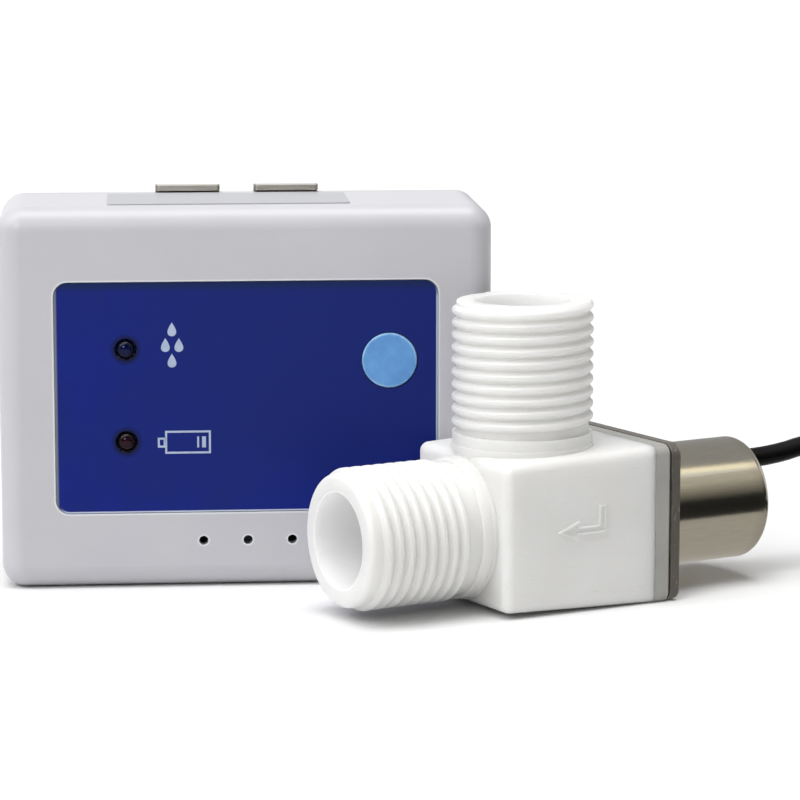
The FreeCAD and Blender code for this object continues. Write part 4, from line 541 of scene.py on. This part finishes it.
# Painted highlight: a paler ring just inside the button's edge, broken up by noise.
rim = maths(tree, "MULTIPLY", ramp(tree, from_middle, BUTTON_RADIUS - 0.42, BUTTON_RADIUS - 0.16),
            ramp(tree, skin["Broad"], 0.3, 0.5))
colour = blend(tree, ramp(tree, skin["Broad"], 0.25, 0.75), paint(82, 142, 206), paint(104, 166, 226))
colour = over(tree, colour, ramp(tree, skin["Fine"], 0.6, 0.72), 0.25, paint(136, 184, 226))
connect(tree, shader, {
    "Base Color": over(tree, colour, rim, 0.7, paint(160, 200, 236)),
    "Roughness": between(tree, skin["Fine"], 0.42, 0.62),
    "Normal": relief(tree, maths(tree, "ADD", skin["Fine"], skin["Broad"]), 0.03),
    "Subsurface Weight": 0.15,
    "Subsurface Radius": (0.6, 0.8, 1.2),
    "Subsurface Scale": 0.5 * MM,
})
finish(material, "push_button")

# The two water-sensing plates are bent from 0.8 mm stainless strip and sheared to length, and their rounded
# ends carry painted shade. A headed pin holds each to the rear and carries its signal to the board.
PLATE_MIDDLES = (-8.2, 7.0)
PLATE_HALF_LENGTH = 4.95

# Metal that was rolled, drawn or brushed: fine lines, and some deeper scratches across them
drawn_lines, given, made = new_group(
    "drawn_lines",
    [("Place", "Vector", (0.0, 0.0, 0.0)), ("Lines", "Vector", (1.0, 1.0, 1.0)),
     ("Scratches", "Vector", (1.0, 1.0, 1.0))],
    ["Line", "Scratch"],
)
for label, span, detail in (("Line", "Lines", 4.0), ("Scratch", "Scratches", 2.0)):
    scaled = add(drawn_lines, "VectorMath", {0: given["Place"], 1: given[span]}, operation="MULTIPLY")
    noise = add(drawn_lines, "TexNoise", {"Vector": scaled.outputs[0], "Scale": 1.0, "Detail": detail})
    drawn = noise.outputs[0] if label == "Line" else ramp(drawn_lines, noise.outputs[0], 0.66, 0.72)
    drawn_lines.links.new(drawn, made[label])

for side, middle in zip(("left", "right"), PLATE_MIDDLES):
    material, tree, shader = new_material("sensing_plate_" + side)
    place = millimetres(tree)
    lines = use(tree, drawn_lines, {"Place": place, "Lines": (0.25, 7.0, 7.0), "Scratches": (3.0, 0.6, 0.6)})
    rubbed = use(tree, rubbed_edges, {"Place": place, "Reach": 0.25 * MM, "Patch": 1.5})["Rubbed"]
    from_middle = away(tree, split(tree, place)["X"], middle)
    # Painted shade: both rounded ends of each plate are painted dark.
    end = ramp(tree, from_middle, PLATE_HALF_LENGTH - 0.45, PLATE_HALF_LENGTH - 0.1)
    colour = blend(tree, lines["Line"], paint(164, 160, 149), paint(222, 218, 207))
    colour = over(tree, colour, rubbed, 0.5, paint(236, 232, 222))
    connect(tree, shader, {
        "Base Color": over(tree, colour, end, 0.7, paint(58, 54, 50)),
        "Metallic": 1.0,
        "Roughness": between(tree, lines["Line"], 0.22, 0.47),
        "Normal": relief(tree, maths(tree, "SUBTRACT", lines["Line"], lines["Scratch"]), 0.012),
    })
    finish(material, "sensor_plate_" + side)
nickel = bright_metal("nickel_plate", paint(168, 164, 154), paint(222, 218, 206), 0.5, 0.34)
finish(nickel, "sensor_pin_left", "sensor_pin_right")

# A bare sticker lies on the top, cut from thin clear vinyl that looks a little darker than the case.
# Its face has shallow ripples from being pressed on by hand.
material, tree, shader = new_material("clear_vinyl_sticker")
place = millimetres(tree)
skin = use(tree, moulded_skin, {"Place": place, "Grain": 0.4, "Patch": 5.0})
connect(tree, shader, {
    "Base Color": blend(tree, skin["Broad"], paint(166, 167, 173), paint(178, 179, 184)),
    "Roughness": between(tree, skin["Broad"], 0.3, 0.5),
    "Normal": relief(tree, skin["Broad"], 0.03),
})
finish(material, "top_sticker")

# The rear cover carries the battery bay, and the battery door hooks into it with two tabs.
# Both are moulded in the same grey ABS, the door with a slightly coarser skin and five grip grooves.
finish(grey_case, "rear_cover")
finish(case_plastic("grey_abs_door", 0.3), "battery_door")

# Four AAA cells lie across the bay, facing left and right in turn. Each is a nickelled steel can in a
# printed plastic sleeve: plain dark body, one pale band at the positive end, no words.
CELL_COLOURS = (paint(24, 30, 38), paint(190, 148, 60))
CELL_BAND_START = 11.0
SLEEVE_HALF_LENGTH = 21.4
SLEEVE_MOUTH_RADIUS = 4.5
for k in range(1, 5):
    low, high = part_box("battery_%d" % k)
    middle = (low + high) / 2
    positive = 1.0 if k % 2 else -1.0
    material, tree, shader = new_material("cell_sleeve_%d" % k)
    place = millimetres(tree, centre=middle)
    skin = use(tree, moulded_skin, {"Place": place, "Grain": 0.25, "Patch": 5.0})
    along = maths(tree, "MULTIPLY", split(tree, place)["X"], positive)
    around = apart(tree, place, (0.0, 0.0, 0.0), "x")
    band = ramp(tree, along, CELL_BAND_START, CELL_BAND_START + 0.2)
    can_end = ramp(tree, maths(tree, "ABSOLUTE", along), SLEEVE_HALF_LENGTH - 0.05, SLEEVE_HALF_LENGTH + 0.05)
    bare = maths(tree, "MAXIMUM", can_end,
                 ramp(tree, around, SLEEVE_MOUTH_RADIUS + 0.1, SLEEVE_MOUTH_RADIUS - 0.1))
    colour = blend(tree, band, CELL_COLOURS[0], CELL_COLOURS[1])
    colour = over(tree, colour, skin["Broad"], 0.2, paint(140, 140, 140))
    connect(tree, shader, {
        "Base Color": blend(tree, bare, colour, paint(206, 204, 198)),
        "Metallic": bare,
        "Roughness": between(tree, skin["Fine"], 0.24, 0.36),
        "Normal": relief(tree, skin["Fine"], 0.02),
    })
    finish(material, "battery_%d" % k)

# The contacts are stamped from nickelled spring steel and pressed into the bay's end walls.
# Each has a dimple for a cell's positive end, and a conical wire spring stands at each negative end.
finish(nickel, "contact_positive_end", "contact_negative_end", "battery_springs",
       *["contact_bridge_%d_%d" % (k, k + 1) for k in (1, 2, 3)])

# The circuit board is 1.6 mm glass-epoxy sheet under green solder mask, routed to shape and held in the
# cover by four screws. Copper tracks show as paler lines, and bare tinned pads ring its holes.
TRACK_PITCH = 0.16
# The pads' places across and up, and their radii: at the screws, the lamps' leads and the plates' pins
PADS = [(side * 25.5, height, 2.2) for side in (-1, 1) for height in (8.1, 49.1)]
PADS += [(LAMP_ACROSS + side * 1.27, height, 0.9) for side in (-1, 1) for height in LAMP_HEIGHTS]
PADS += [(middle, 53.3, 1.3) for middle in PLATE_MIDDLES]

material, tree, shader = new_material("green_board")
place = millimetres(tree)
skin = use(tree, moulded_skin, {"Place": place, "Grain": 0.4, "Patch": 9.0})
tracks = add(tree, "TexVoronoi", {"Vector": place, "Scale": 0.35}, distance="MANHATTAN",
             feature="F2").outputs["Distance"]
track = ramp(tree, maths(tree, "PINGPONG", tracks, TRACK_PITCH), TRACK_PITCH - 0.03, TRACK_PITCH - 0.01)
pad = 0.0
for across, height, radius in PADS:
    ring = ramp(tree, apart(tree, place, (across, 0.0, height), "y"), radius + 0.05, radius - 0.05)
    pad = maths(tree, "MAXIMUM", pad, ring)
colour = blend(tree, skin["Broad"], paint(16, 74, 44), paint(22, 92, 56))
colour = over(tree, colour, track, 0.6, paint(66, 140, 84))
connect(tree, shader, {
    "Base Color": blend(tree, pad, colour, paint(200, 198, 190)),
    "Metallic": pad,
    "Roughness": between(tree, skin["Fine"], 0.25, 0.4),
    "Normal": relief(tree, maths(tree, "ADD", track, maths(tree, "MULTIPLY", skin["Fine"], 0.2)), 0.03),
})
finish(material, "circuit_board")
zinc_steel = bright_metal("zinc_steel", paint(138, 140, 146), paint(196, 198, 202), 0.25, 0.42)
finish(zinc_steel, "board_screws", "case_screws")

# The two chips are black epoxy bodies with tinned gull-wing legs, soldered flat to the board. One reads the
# plates and the button, and the other sends the valve its pulse.
CHIP_HALF_WIDTH = 1.95
for name in ("controller_chip", "valve_driver_chip"):
    low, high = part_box(name)
    material, tree, shader = new_material(name + "_epoxy")
    place = millimetres(tree, centre=(low + high) / 2)
    skin = use(tree, moulded_skin, {"Place": place, "Grain": 0.12, "Patch": 1.5})
    from_line = maths(tree, "ABSOLUTE", split(tree, place)["Z"])
    leg = ramp(tree, from_line, CHIP_HALF_WIDTH, CHIP_HALF_WIDTH + 0.03)
    colour = blend(tree, skin["Broad"], paint(24, 24, 26), paint(38, 38, 40))
    connect(tree, shader, {
        "Base Color": blend(tree, leg, colour, paint(192, 192, 190)),
        "Metallic": leg,
        "Roughness": between(tree, skin["Fine"], 0.4, 0.6),
        "Normal": relief(tree, skin["Fine"], 0.02),
    })
    finish(material, name)

# The reservoir capacitor is an aluminium can in a shrunk sleeve with a pale stripe, and stores the pulse
# that drives the valve. Its bare top faces the front.
BARE_TOP_RADIUS = 2.8
STRIPE_START = 1.9
low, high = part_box("reservoir_capacitor")
material, tree, shader = new_material("capacitor_sleeve")
place = millimetres(tree, centre=Vector(((low.x + high.x) / 2, low.y, (low.z + high.z) / 2)))
skin = use(tree, moulded_skin, {"Place": place, "Grain": 0.2, "Patch": 2.0})
around = apart(tree, place, (0.0, 0.0, 0.0), "y")
bare = maths(tree, "MULTIPLY", ramp(tree, split(tree, place)["Y"], 0.25, 0.1),
             ramp(tree, around, BARE_TOP_RADIUS + 0.1, BARE_TOP_RADIUS - 0.1))
stripe = ramp(tree, split(tree, place)["X"], STRIPE_START, STRIPE_START + 0.1)
colour = blend(tree, stripe, paint(26, 34, 62), paint(176, 180, 190))
connect(tree, shader, {
    "Base Color": blend(tree, bare, colour, paint(210, 210, 210)),
    "Metallic": bare,
    "Roughness": between(tree, skin["Broad"], 0.22, 0.42),
    "Normal": relief(tree, skin["Fine"], 0.02),
})
finish(material, "reservoir_capacitor")


# The sounder, the switch with its stem and the plug's socket are small black mouldings on the board.
# The socket's round nose reaches into the left wall, and its mouth is lined with a nickelled bush.
def black_moulding(name, grain, gloss=0.0):
    material, tree, shader = new_material(name)
    place = millimetres(tree)
    skin = use(tree, moulded_skin, {"Place": place, "Grain": grain, "Patch": 12 * grain})
    rubbed = use(tree, rubbed_edges, {"Place": place, "Reach": 0.2 * MM, "Patch": 1.0})["Rubbed"]
    colour = blend(tree, skin["Broad"], paint(17, 17, 18), paint(30, 30, 32))
    connect(tree, shader, {
        "Base Color": over(tree, colour, rubbed, 0.3, paint(92, 92, 94)),
        "Roughness": between(tree, skin["Fine"], 0.55 - gloss, 0.4 - gloss),
        "Normal": relief(tree, skin["Fine"], 0.03),
    })
    return material


finish(black_moulding("sounder_case", 0.25), "sounder")
finish(black_moulding("switch_case", 0.18), "switch_body", "switch_plunger")


def reopen(material):
    """A finished material's nodes, its shader's inputs and its colour so far."""
    tree = material.node_tree
    shader = next(item for item in tree.nodes if item.type == "BSDF_PRINCIPLED").inputs
    return tree, shader, shader["Base Color"].links[0].from_socket


SOCKET_LINE = (-7.4 * MM, 14.0 * MM)
BUSH_RADIUS = 2.2
BUSH_DEPTH = 3.0
socket_black = black_moulding("socket_case", 0.2)
tree, shader, colour = reopen(socket_black)
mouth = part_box("jack_socket")[0].x
place = millimetres(tree, centre=Vector((mouth, *SOCKET_LINE)))
around = apart(tree, place, (0.0, 0.0, 0.0), "x")
bush = maths(tree, "MULTIPLY", ramp(tree, around, BUSH_RADIUS + 0.05, BUSH_RADIUS - 0.05),
             ramp(tree, split(tree, place)["X"], BUSH_DEPTH, BUSH_DEPTH - 0.1))
connect(tree, shader, {"Base Color": blend(tree, bush, colour, paint(206, 202, 190)), "Metallic": bush})
finish(socket_black, "jack_socket")

# The valve body is one moulding in natural glass-free nylon, milky white with a soft satin skin. Faint
# flow lines run from the gate, and both nozzles carry half-inch pipe thread straight from the mould.
LINE_HEIGHT = 11.7
WATERWAY_RADIUS = 7.0


def nylon(name, dark, light, grain, patch, scatter):
    """Moulded nylon: light goes a little way into it, and its skin has soft flow lines."""
    material, tree, shader = new_material(name)
    place = millimetres(tree, centre=VALVE_PLACE, turn=VALVE_TURN)
    skin = use(tree, moulded_skin, {"Place": place, "Grain": grain, "Patch": patch})
    rubbed = use(tree, rubbed_edges, {"Place": place, "Reach": 0.35 * MM, "Patch": 3.0})["Rubbed"]
    flow = use(tree, drawn_lines, {"Place": place, "Lines": (0.12, 0.5, 0.9), "Scratches": (0.4, 1.6, 3.0)})
    colour = blend(tree, skin["Broad"], dark, light)
    colour = over(tree, colour, flow["Line"], 0.25, dark)
    colour = over(tree, colour, flow["Scratch"], 0.12, paint(176, 172, 162))
    height = maths(tree, "ADD", maths(tree, "MULTIPLY", skin["Fine"], 0.5), flow["Line"])
    connect(tree, shader, {
        "Base Color": over(tree, colour, rubbed, 0.3, light),
        "Roughness": between(tree, skin["Broad"], 0.34, 0.52),
        "Normal": relief(tree, height, 0.04),
        "Subsurface Weight": scatter,
        "Subsurface Radius": (1.0, 0.98, 0.94),
        "Subsurface Scale": 4.0 * MM,
    })
    return material


body_nylon = nylon("natural_nylon", paint(224, 223, 220), paint(234, 234, 233), 0.35, 9.0, 0.8)
tree, shader, colour = reopen(body_nylon)
place = millimetres(tree, centre=VALVE_PLACE, turn=VALVE_TURN)
# Painted light: the walls of both waterways are painted whiter.
from_axis = maths(tree, "MINIMUM", apart(tree, place, (0.0, 0.0, LINE_HEIGHT), "x"),
                  apart(tree, place, (0.0, 0.0, 0.0), "z"))
painted_bore_light = ramp(tree, from_axis, WATERWAY_RADIUS + 0.3, WATERWAY_RADIUS + 0.1)
connect(tree, shader, {"Base Color": blend(tree, painted_bore_light, colour, paint(250, 250, 249))})
finish(body_nylon, "valve_body")

# Inside, a moulded strainer sits on the inlet's shoulder, and a rubber diaphragm with a stiff disc in its
# middle closes the seat. Both are clamped or dropped in before the bonnet goes on.
finish(nylon("strainer_nylon", paint(214, 214, 212), paint(230, 230, 228), 0.2, 2.0, 0.2), "inlet_screen")
finish(nylon("disc_nylon", paint(196, 192, 180), paint(214, 210, 198), 0.2, 3.0, 0.1), "diaphragm_disc")


def rubber(name, dark, light):
    material, tree, shader = new_material(name)
    skin = use(tree, moulded_skin, {"Place": millimetres(tree), "Grain": 0.15, "Patch": 2.5})
    connect(tree, shader, {
        "Base Color": blend(tree, skin["Broad"], dark, light),
        "Roughness": between(tree, skin["Fine"], 0.52, 0.72),
        "Normal": relief(tree, skin["Fine"], 0.02),
        "Sheen Weight": 0.15,
    })
    return material


black_rubber = rubber("black_rubber", paint(20, 20, 21), paint(36, 36, 38))
finish(black_rubber, "diaphragm_membrane", "tube_o_ring", "cord_grommet")
finish(rubber("red_rubber", paint(112, 44, 34), paint(138, 60, 46)), "plunger_seal")

# The bonnet is moulded in nylon and closes the diaphragm's chamber. Its grey is partly the nylon's own tone
# and partly painted shade. A pressed steel plate clamps it to the body with four countersunk screws, its cut
# edge dark from the shears.
finish(nylon("grey_nylon_painted_shade", paint(158, 157, 154), paint(172, 171, 166), 0.25, 5.0, 0.05), "bonnet")

STEEL_PLATE_MIDDLE = 18.35
material, tree, shader = new_material("pressed_steel_plate")
place = millimetres(tree, centre=VALVE_PLACE, turn=VALVE_TURN)
lines = use(tree, drawn_lines, {"Place": place, "Lines": (5.0, 1.2, 0.5), "Scratches": (2.6, 3.0, 0.7)})
rubbed = use(tree, rubbed_edges, {"Place": place, "Reach": 0.25 * MM, "Patch": 1.2})["Rubbed"]
sheared = ramp(tree, away(tree, split(tree, place)["X"], STEEL_PLATE_MIDDLE), 0.72, 0.6)
colour = blend(tree, lines["Line"], paint(118, 112, 104), paint(168, 162, 152))
colour = over(tree, colour, sheared, 0.75, paint(74, 70, 67))
colour = over(tree, colour, lines["Scratch"], 0.6, paint(196, 190, 180))
connect(tree, shader, {
    "Base Color": over(tree, colour, rubbed, 0.6, paint(186, 180, 168)),
    "Metallic": between(tree, sheared, 1.0, 0.2),
    "Roughness": between(tree, lines["Line"], 0.28, 0.58),
    "Normal": relief(tree, maths(tree, "SUBTRACT", lines["Line"], lines["Scratch"]), 0.03),
})
finish(material, "flange_plate")
finish(zinc_steel, "flange_screws")

# The solenoid: a closed stainless tube with the plunger and its spring inside it, the fixed core and a
# latching magnet behind, and round it the winding of enamelled copper on its bobbin.
bare_steel = bright_metal("ferritic_steel", paint(140, 138, 134), paint(188, 186, 180), 0.3, 0.36)
finish(bare_steel, "core_tube", "plunger", "fixed_core")
finish(bright_metal("nickelled_magnet", paint(110, 108, 106), paint(160, 158, 154), 0.6, 0.3), "latch_magnet")
finish(nylon("bobbin_nylon", paint(60, 62, 66), paint(80, 82, 86), 0.2, 3.0, 0.0), "coil_bobbin")
WIRE_PITCH = 0.24
material, tree, shader = new_material("enamelled_copper")
place = millimetres(tree, centre=VALVE_PLACE, turn=VALVE_TURN)
skin = use(tree, moulded_skin, {"Place": place, "Grain": 0.3, "Patch": 4.0})
wire = maths(tree, "PINGPONG", split(tree, place)["X"], WIRE_PITCH / 2)
connect(tree, shader, {
    "Base Color": blend(tree, skin["Broad"], paint(150, 70, 34), paint(196, 104, 52)),
    "Metallic": 1.0,
    "Roughness": between(tree, skin["Broad"], 0.2, 0.35),
    "Normal": relief(tree, wire, 0.3),
})
finish(material, "coil_winding")
finish(black_moulding("lead_insulation", 0.2), "coil_leads")

# The plunger's return spring is wound from 0.4 mm stainless wire. It stands between the plunger's pocket
# and the fixed core, and is squeezed as the plunger comes back.
SPRING_START = 22.3
SPRING_END = 28.6
SPRING_RADIUS = 1.75
SPRING_WIRE_RADIUS = 0.2
SPRING_TURNS = 5
SPRING_STEPS = 24
spring = bmesh.new()
bmesh.ops.create_circle(spring, radius=SPRING_WIRE_RADIUS, segments=10, cap_ends=True)
bmesh.ops.rotate(spring, verts=spring.verts, matrix=Matrix.Rotation(math.pi / 2, 3, "Y"))
bmesh.ops.rotate(spring, verts=spring.verts, matrix=Matrix.Rotation(math.pi / 2, 3, "Z"))
bmesh.ops.translate(spring, verts=spring.verts, vec=(SPRING_START, 0.0, LINE_HEIGHT + SPRING_RADIUS))
steps = SPRING_TURNS * SPRING_STEPS
bmesh.ops.spin(spring, geom=spring.faces[:], cent=(0.0, 0.0, LINE_HEIGHT), axis=(1.0, 0.0, 0.0),
               dvec=((SPRING_END - SPRING_START) / steps, 0.0, 0.0), angle=2 * math.pi * SPRING_TURNS,
               steps=steps, use_duplicate=False)
bmesh.ops.transform(spring, verts=spring.verts, matrix=VALVE @ Matrix.Scale(MM, 4))
bmesh.ops.recalc_face_normals(spring, faces=spring.faces)
return_spring = new_piece("plunger_return_spring", spring, bare_steel)
for face in return_spring.data.polygons:
    face.use_smooth = True
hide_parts("plunger_spring")
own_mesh(return_spring)

# The can is drawn from 0.8 mm stainless sheet and polished. It has fine lines along it from the drawing
# and scuffs round its closed end, and it is crimped to the plate.
CAN_END = 39.0
material, tree, shader = new_material("drawn_stainless_can")
place = millimetres(tree, centre=VALVE_PLACE, turn=VALVE_TURN)
lines = use(tree, drawn_lines, {"Place": place, "Lines": (0.35, 9.0, 9.0), "Scratches": (3.2, 1.0, 1.0)})
skin = use(tree, moulded_skin, {"Place": place, "Grain": 0.4, "Patch": 6.0})
rubbed = use(tree, rubbed_edges, {"Place": place, "Reach": 0.4 * MM, "Patch": 1.5})["Rubbed"]
near_end = ramp(tree, split(tree, place)["X"], CAN_END - 3.2, CAN_END - 0.8)
near_end = maths(tree, "MULTIPLY", near_end, skin["Broad"])
colour = blend(tree, lines["Line"], paint(182, 177, 165), paint(208, 203, 190))
colour = over(tree, colour, near_end, 0.5, paint(140, 133, 118))
height = maths(tree, "SUBTRACT", lines["Line"], maths(tree, "MULTIPLY", lines["Scratch"], 0.4))
connect(tree, shader, {
    "Base Color": over(tree, colour, rubbed, 0.4, paint(226, 222, 212)),
    "Metallic": 1.0,
    "Roughness": maths(tree, "ADD", between(tree, lines["Line"], 0.1, 0.22),
                       maths(tree, "MULTIPLY", near_end, 0.12)),
    "Normal": relief(tree, height, 0.004),
})
finish(material, "solenoid_can")

# The plug is moulded on to the cord's end in the same black vinyl, with a neck against bending. Its sleeve,
# ring and tip are turned brass, gold plated, with insulating rings pressed between them.
finish(black_moulding("plug_vinyl", 0.3, gloss=0.12), "plug_body")
gold = bright_metal("gold_plate", paint(186, 142, 70), paint(226, 186, 104), 0.4, 0.3)
finish(gold, "plug_sleeve", "plug_ring", "plug_tip")

# The stage: a wide white floor under soft light. Some cards stand round it, out of the camera's sight, and
# show only in the gloss of metal, lamps and film, as a photographer's flags do.
FLOOR_HALF = 3.0
FLOOR_DROP = 0.05 * MM
FLOOR_SEEN = paint(234, 234, 234)
FLOOR_BOUNCE = paint(226, 226, 226)


def seen_rays(tree):
    """1 for the rays that see a background: from the camera, in a gloss or through glass."""
    rays = add(tree, "LightPath").outputs
    gloss = maths(tree, "MAXIMUM", rays["Is Glossy Ray"], rays["Is Transmission Ray"])
    return maths(tree, "MAXIMUM", rays["Is Camera Ray"], gloss)


def stage_plane(name, size, place, tilt, material):
    """A flat stage piece: its width and depth, the middle of it, and its turns about X and then Z."""
    mesh = bmesh.new()
    bmesh.ops.create_grid(mesh, x_segments=1, y_segments=1, size=0.5)
    turns = Matrix.Rotation(math.radians(tilt[1]), 4, "Z") @ Matrix.Rotation(math.radians(tilt[0]), 4, "X")
    bmesh.ops.transform(mesh, verts=mesh.verts,
                        matrix=Matrix.Translation(place) @ turns @ Matrix.Diagonal((*size, 1.0, 1.0)))
    data = bpy.data.meshes.new(name)
    mesh.to_mesh(data)
    mesh.free()
    data.materials.append(material)
    plane = bpy.data.objects.new(name, data)
    bpy.context.scene.collection.objects.link(plane)
    return plane


white_floor, tree, shader = new_material("white_floor")
connect(tree, shader, {"Base Color": blend(tree, seen_rays(tree), FLOOR_BOUNCE, FLOOR_SEEN), "Roughness": 0.9,
                       "Specular IOR Level": 0.0})
stage_plane("studio_floor", (2 * FLOOR_HALF, 2 * FLOOR_HALF), (0.0, 0.0, -FLOOR_DROP), (0, 0), white_floor)

# Each card has its colour at the foot, that at the head, its size, its middle, and its turns about X and Z.
# Between two heights the one colour fades into the other.
FADE_START = 0.05
FADE_END = 0.20
DARK = (0.02, 0.02, 0.02, 1.0)
FADED = (0.66, 0.63, 0.54, 1.0)
GREY = (0.38, 0.38, 0.38, 1.0)
LIT_GREY = (0.54, 0.52, 0.48, 1.0)
WARM = (1.75, 1.62, 1.25, 1.0)
BRIGHT = (14.0, 14.0, 14.0, 1.0)
CARDS = [
    ("dark_card_front", DARK, DARK, (3.0, 1.3), (0.0, -1.0, 0.68), (90, 0)),
    ("bright_card_front", BRIGHT, BRIGHT, (0.14, 0.14), (-0.17, -0.42, 0.25), (90, 0)),
    ("fading_card_side", DARK, FADED, (0.5, 0.284), (0.30, -0.135, 0.143), (90, 61)),
    ("dark_card_low", DARK, DARK, (0.24, 0.18), (0.2116, -0.0796, 0.0), (0, 26)),
    ("dark_card_plug", DARK, DARK, (0.05, 0.013), (0.1231, -0.0348, 0.0065), (90, 26)),
    ("grey_card_low", LIT_GREY, LIT_GREY, (0.09, 0.04), (0.1005, -0.0114, 0.0), (0, 26)),
    ("warm_card_top", WARM, WARM, (0.6, 0.095), (0.60, -0.012, 0.6), (0, 0)),
    ("grey_card_top", GREY, GREY, (0.8, 0.965), (0.60, 0.518, 0.6), (0, 0)),
    ("grey_card_back", GREY, GREY, (0.8, 0.6), (0.60, 1.0, 0.3), (90, 0)),
]
for name, foot, head, size, place, tilt in CARDS:
    material, tree, shader = new_material(name)
    rise = ramp(tree, split(tree, add(tree, "TexCoord").outputs["Object"])["Z"], FADE_START, FADE_END)
    connect(tree, shader, {
        "Base Color": (0.0, 0.0, 0.0, 1.0),
        "Roughness": 1.0,
        "Specular IOR Level": 0.0,
        "Emission Color": blend(tree, rise, foot, head),
        "Emission Strength": 1.0,
    })
    card = stage_plane(name, size, place, tilt, material)
    for ray in ("camera", "diffuse", "shadow", "transmission"):
        setattr(card, "visible_" + ray, False)

AMBIENT = 0.32
world = bpy.data.worlds.new("studio")
world.use_nodes = True
bpy.context.scene.world = world
tree = world.node_tree
tree.nodes.clear()
strength = add(tree, "MapRange", {"Value": seen_rays(tree), "To Min": AMBIENT, "To Max": 1.0}).outputs[0]
sky = add(tree, "Background", {"Color": (1.0, 1.0, 1.0, 1.0), "Strength": strength})
add(tree, "OutputWorld", {"Surface": sky.outputs[0]})


def sun(name, direction, strength, softness):
    """A soft light from far away. The direction points from the object to the light."""
    data = bpy.data.lights.new(name, "SUN")
    data.energy = strength * math.pi
    data.angle = math.radians(softness)
    lamp = bpy.data.objects.new(name, data)
    lamp.rotation_euler = Vector(direction).to_track_quat("Z", "Y").to_euler()
    bpy.context.scene.collection.objects.link(lamp)


sun("key_light", (-0.50, -0.30, 0.72), 0.60, 50)
sun("top_light", (0.02, -0.05, 1.0), 0.52, 36)
sun("small_light", (-0.30, -0.85, 0.42), 0.04, 5)

bpy.context.scene.view_settings.view_transform = "Standard"
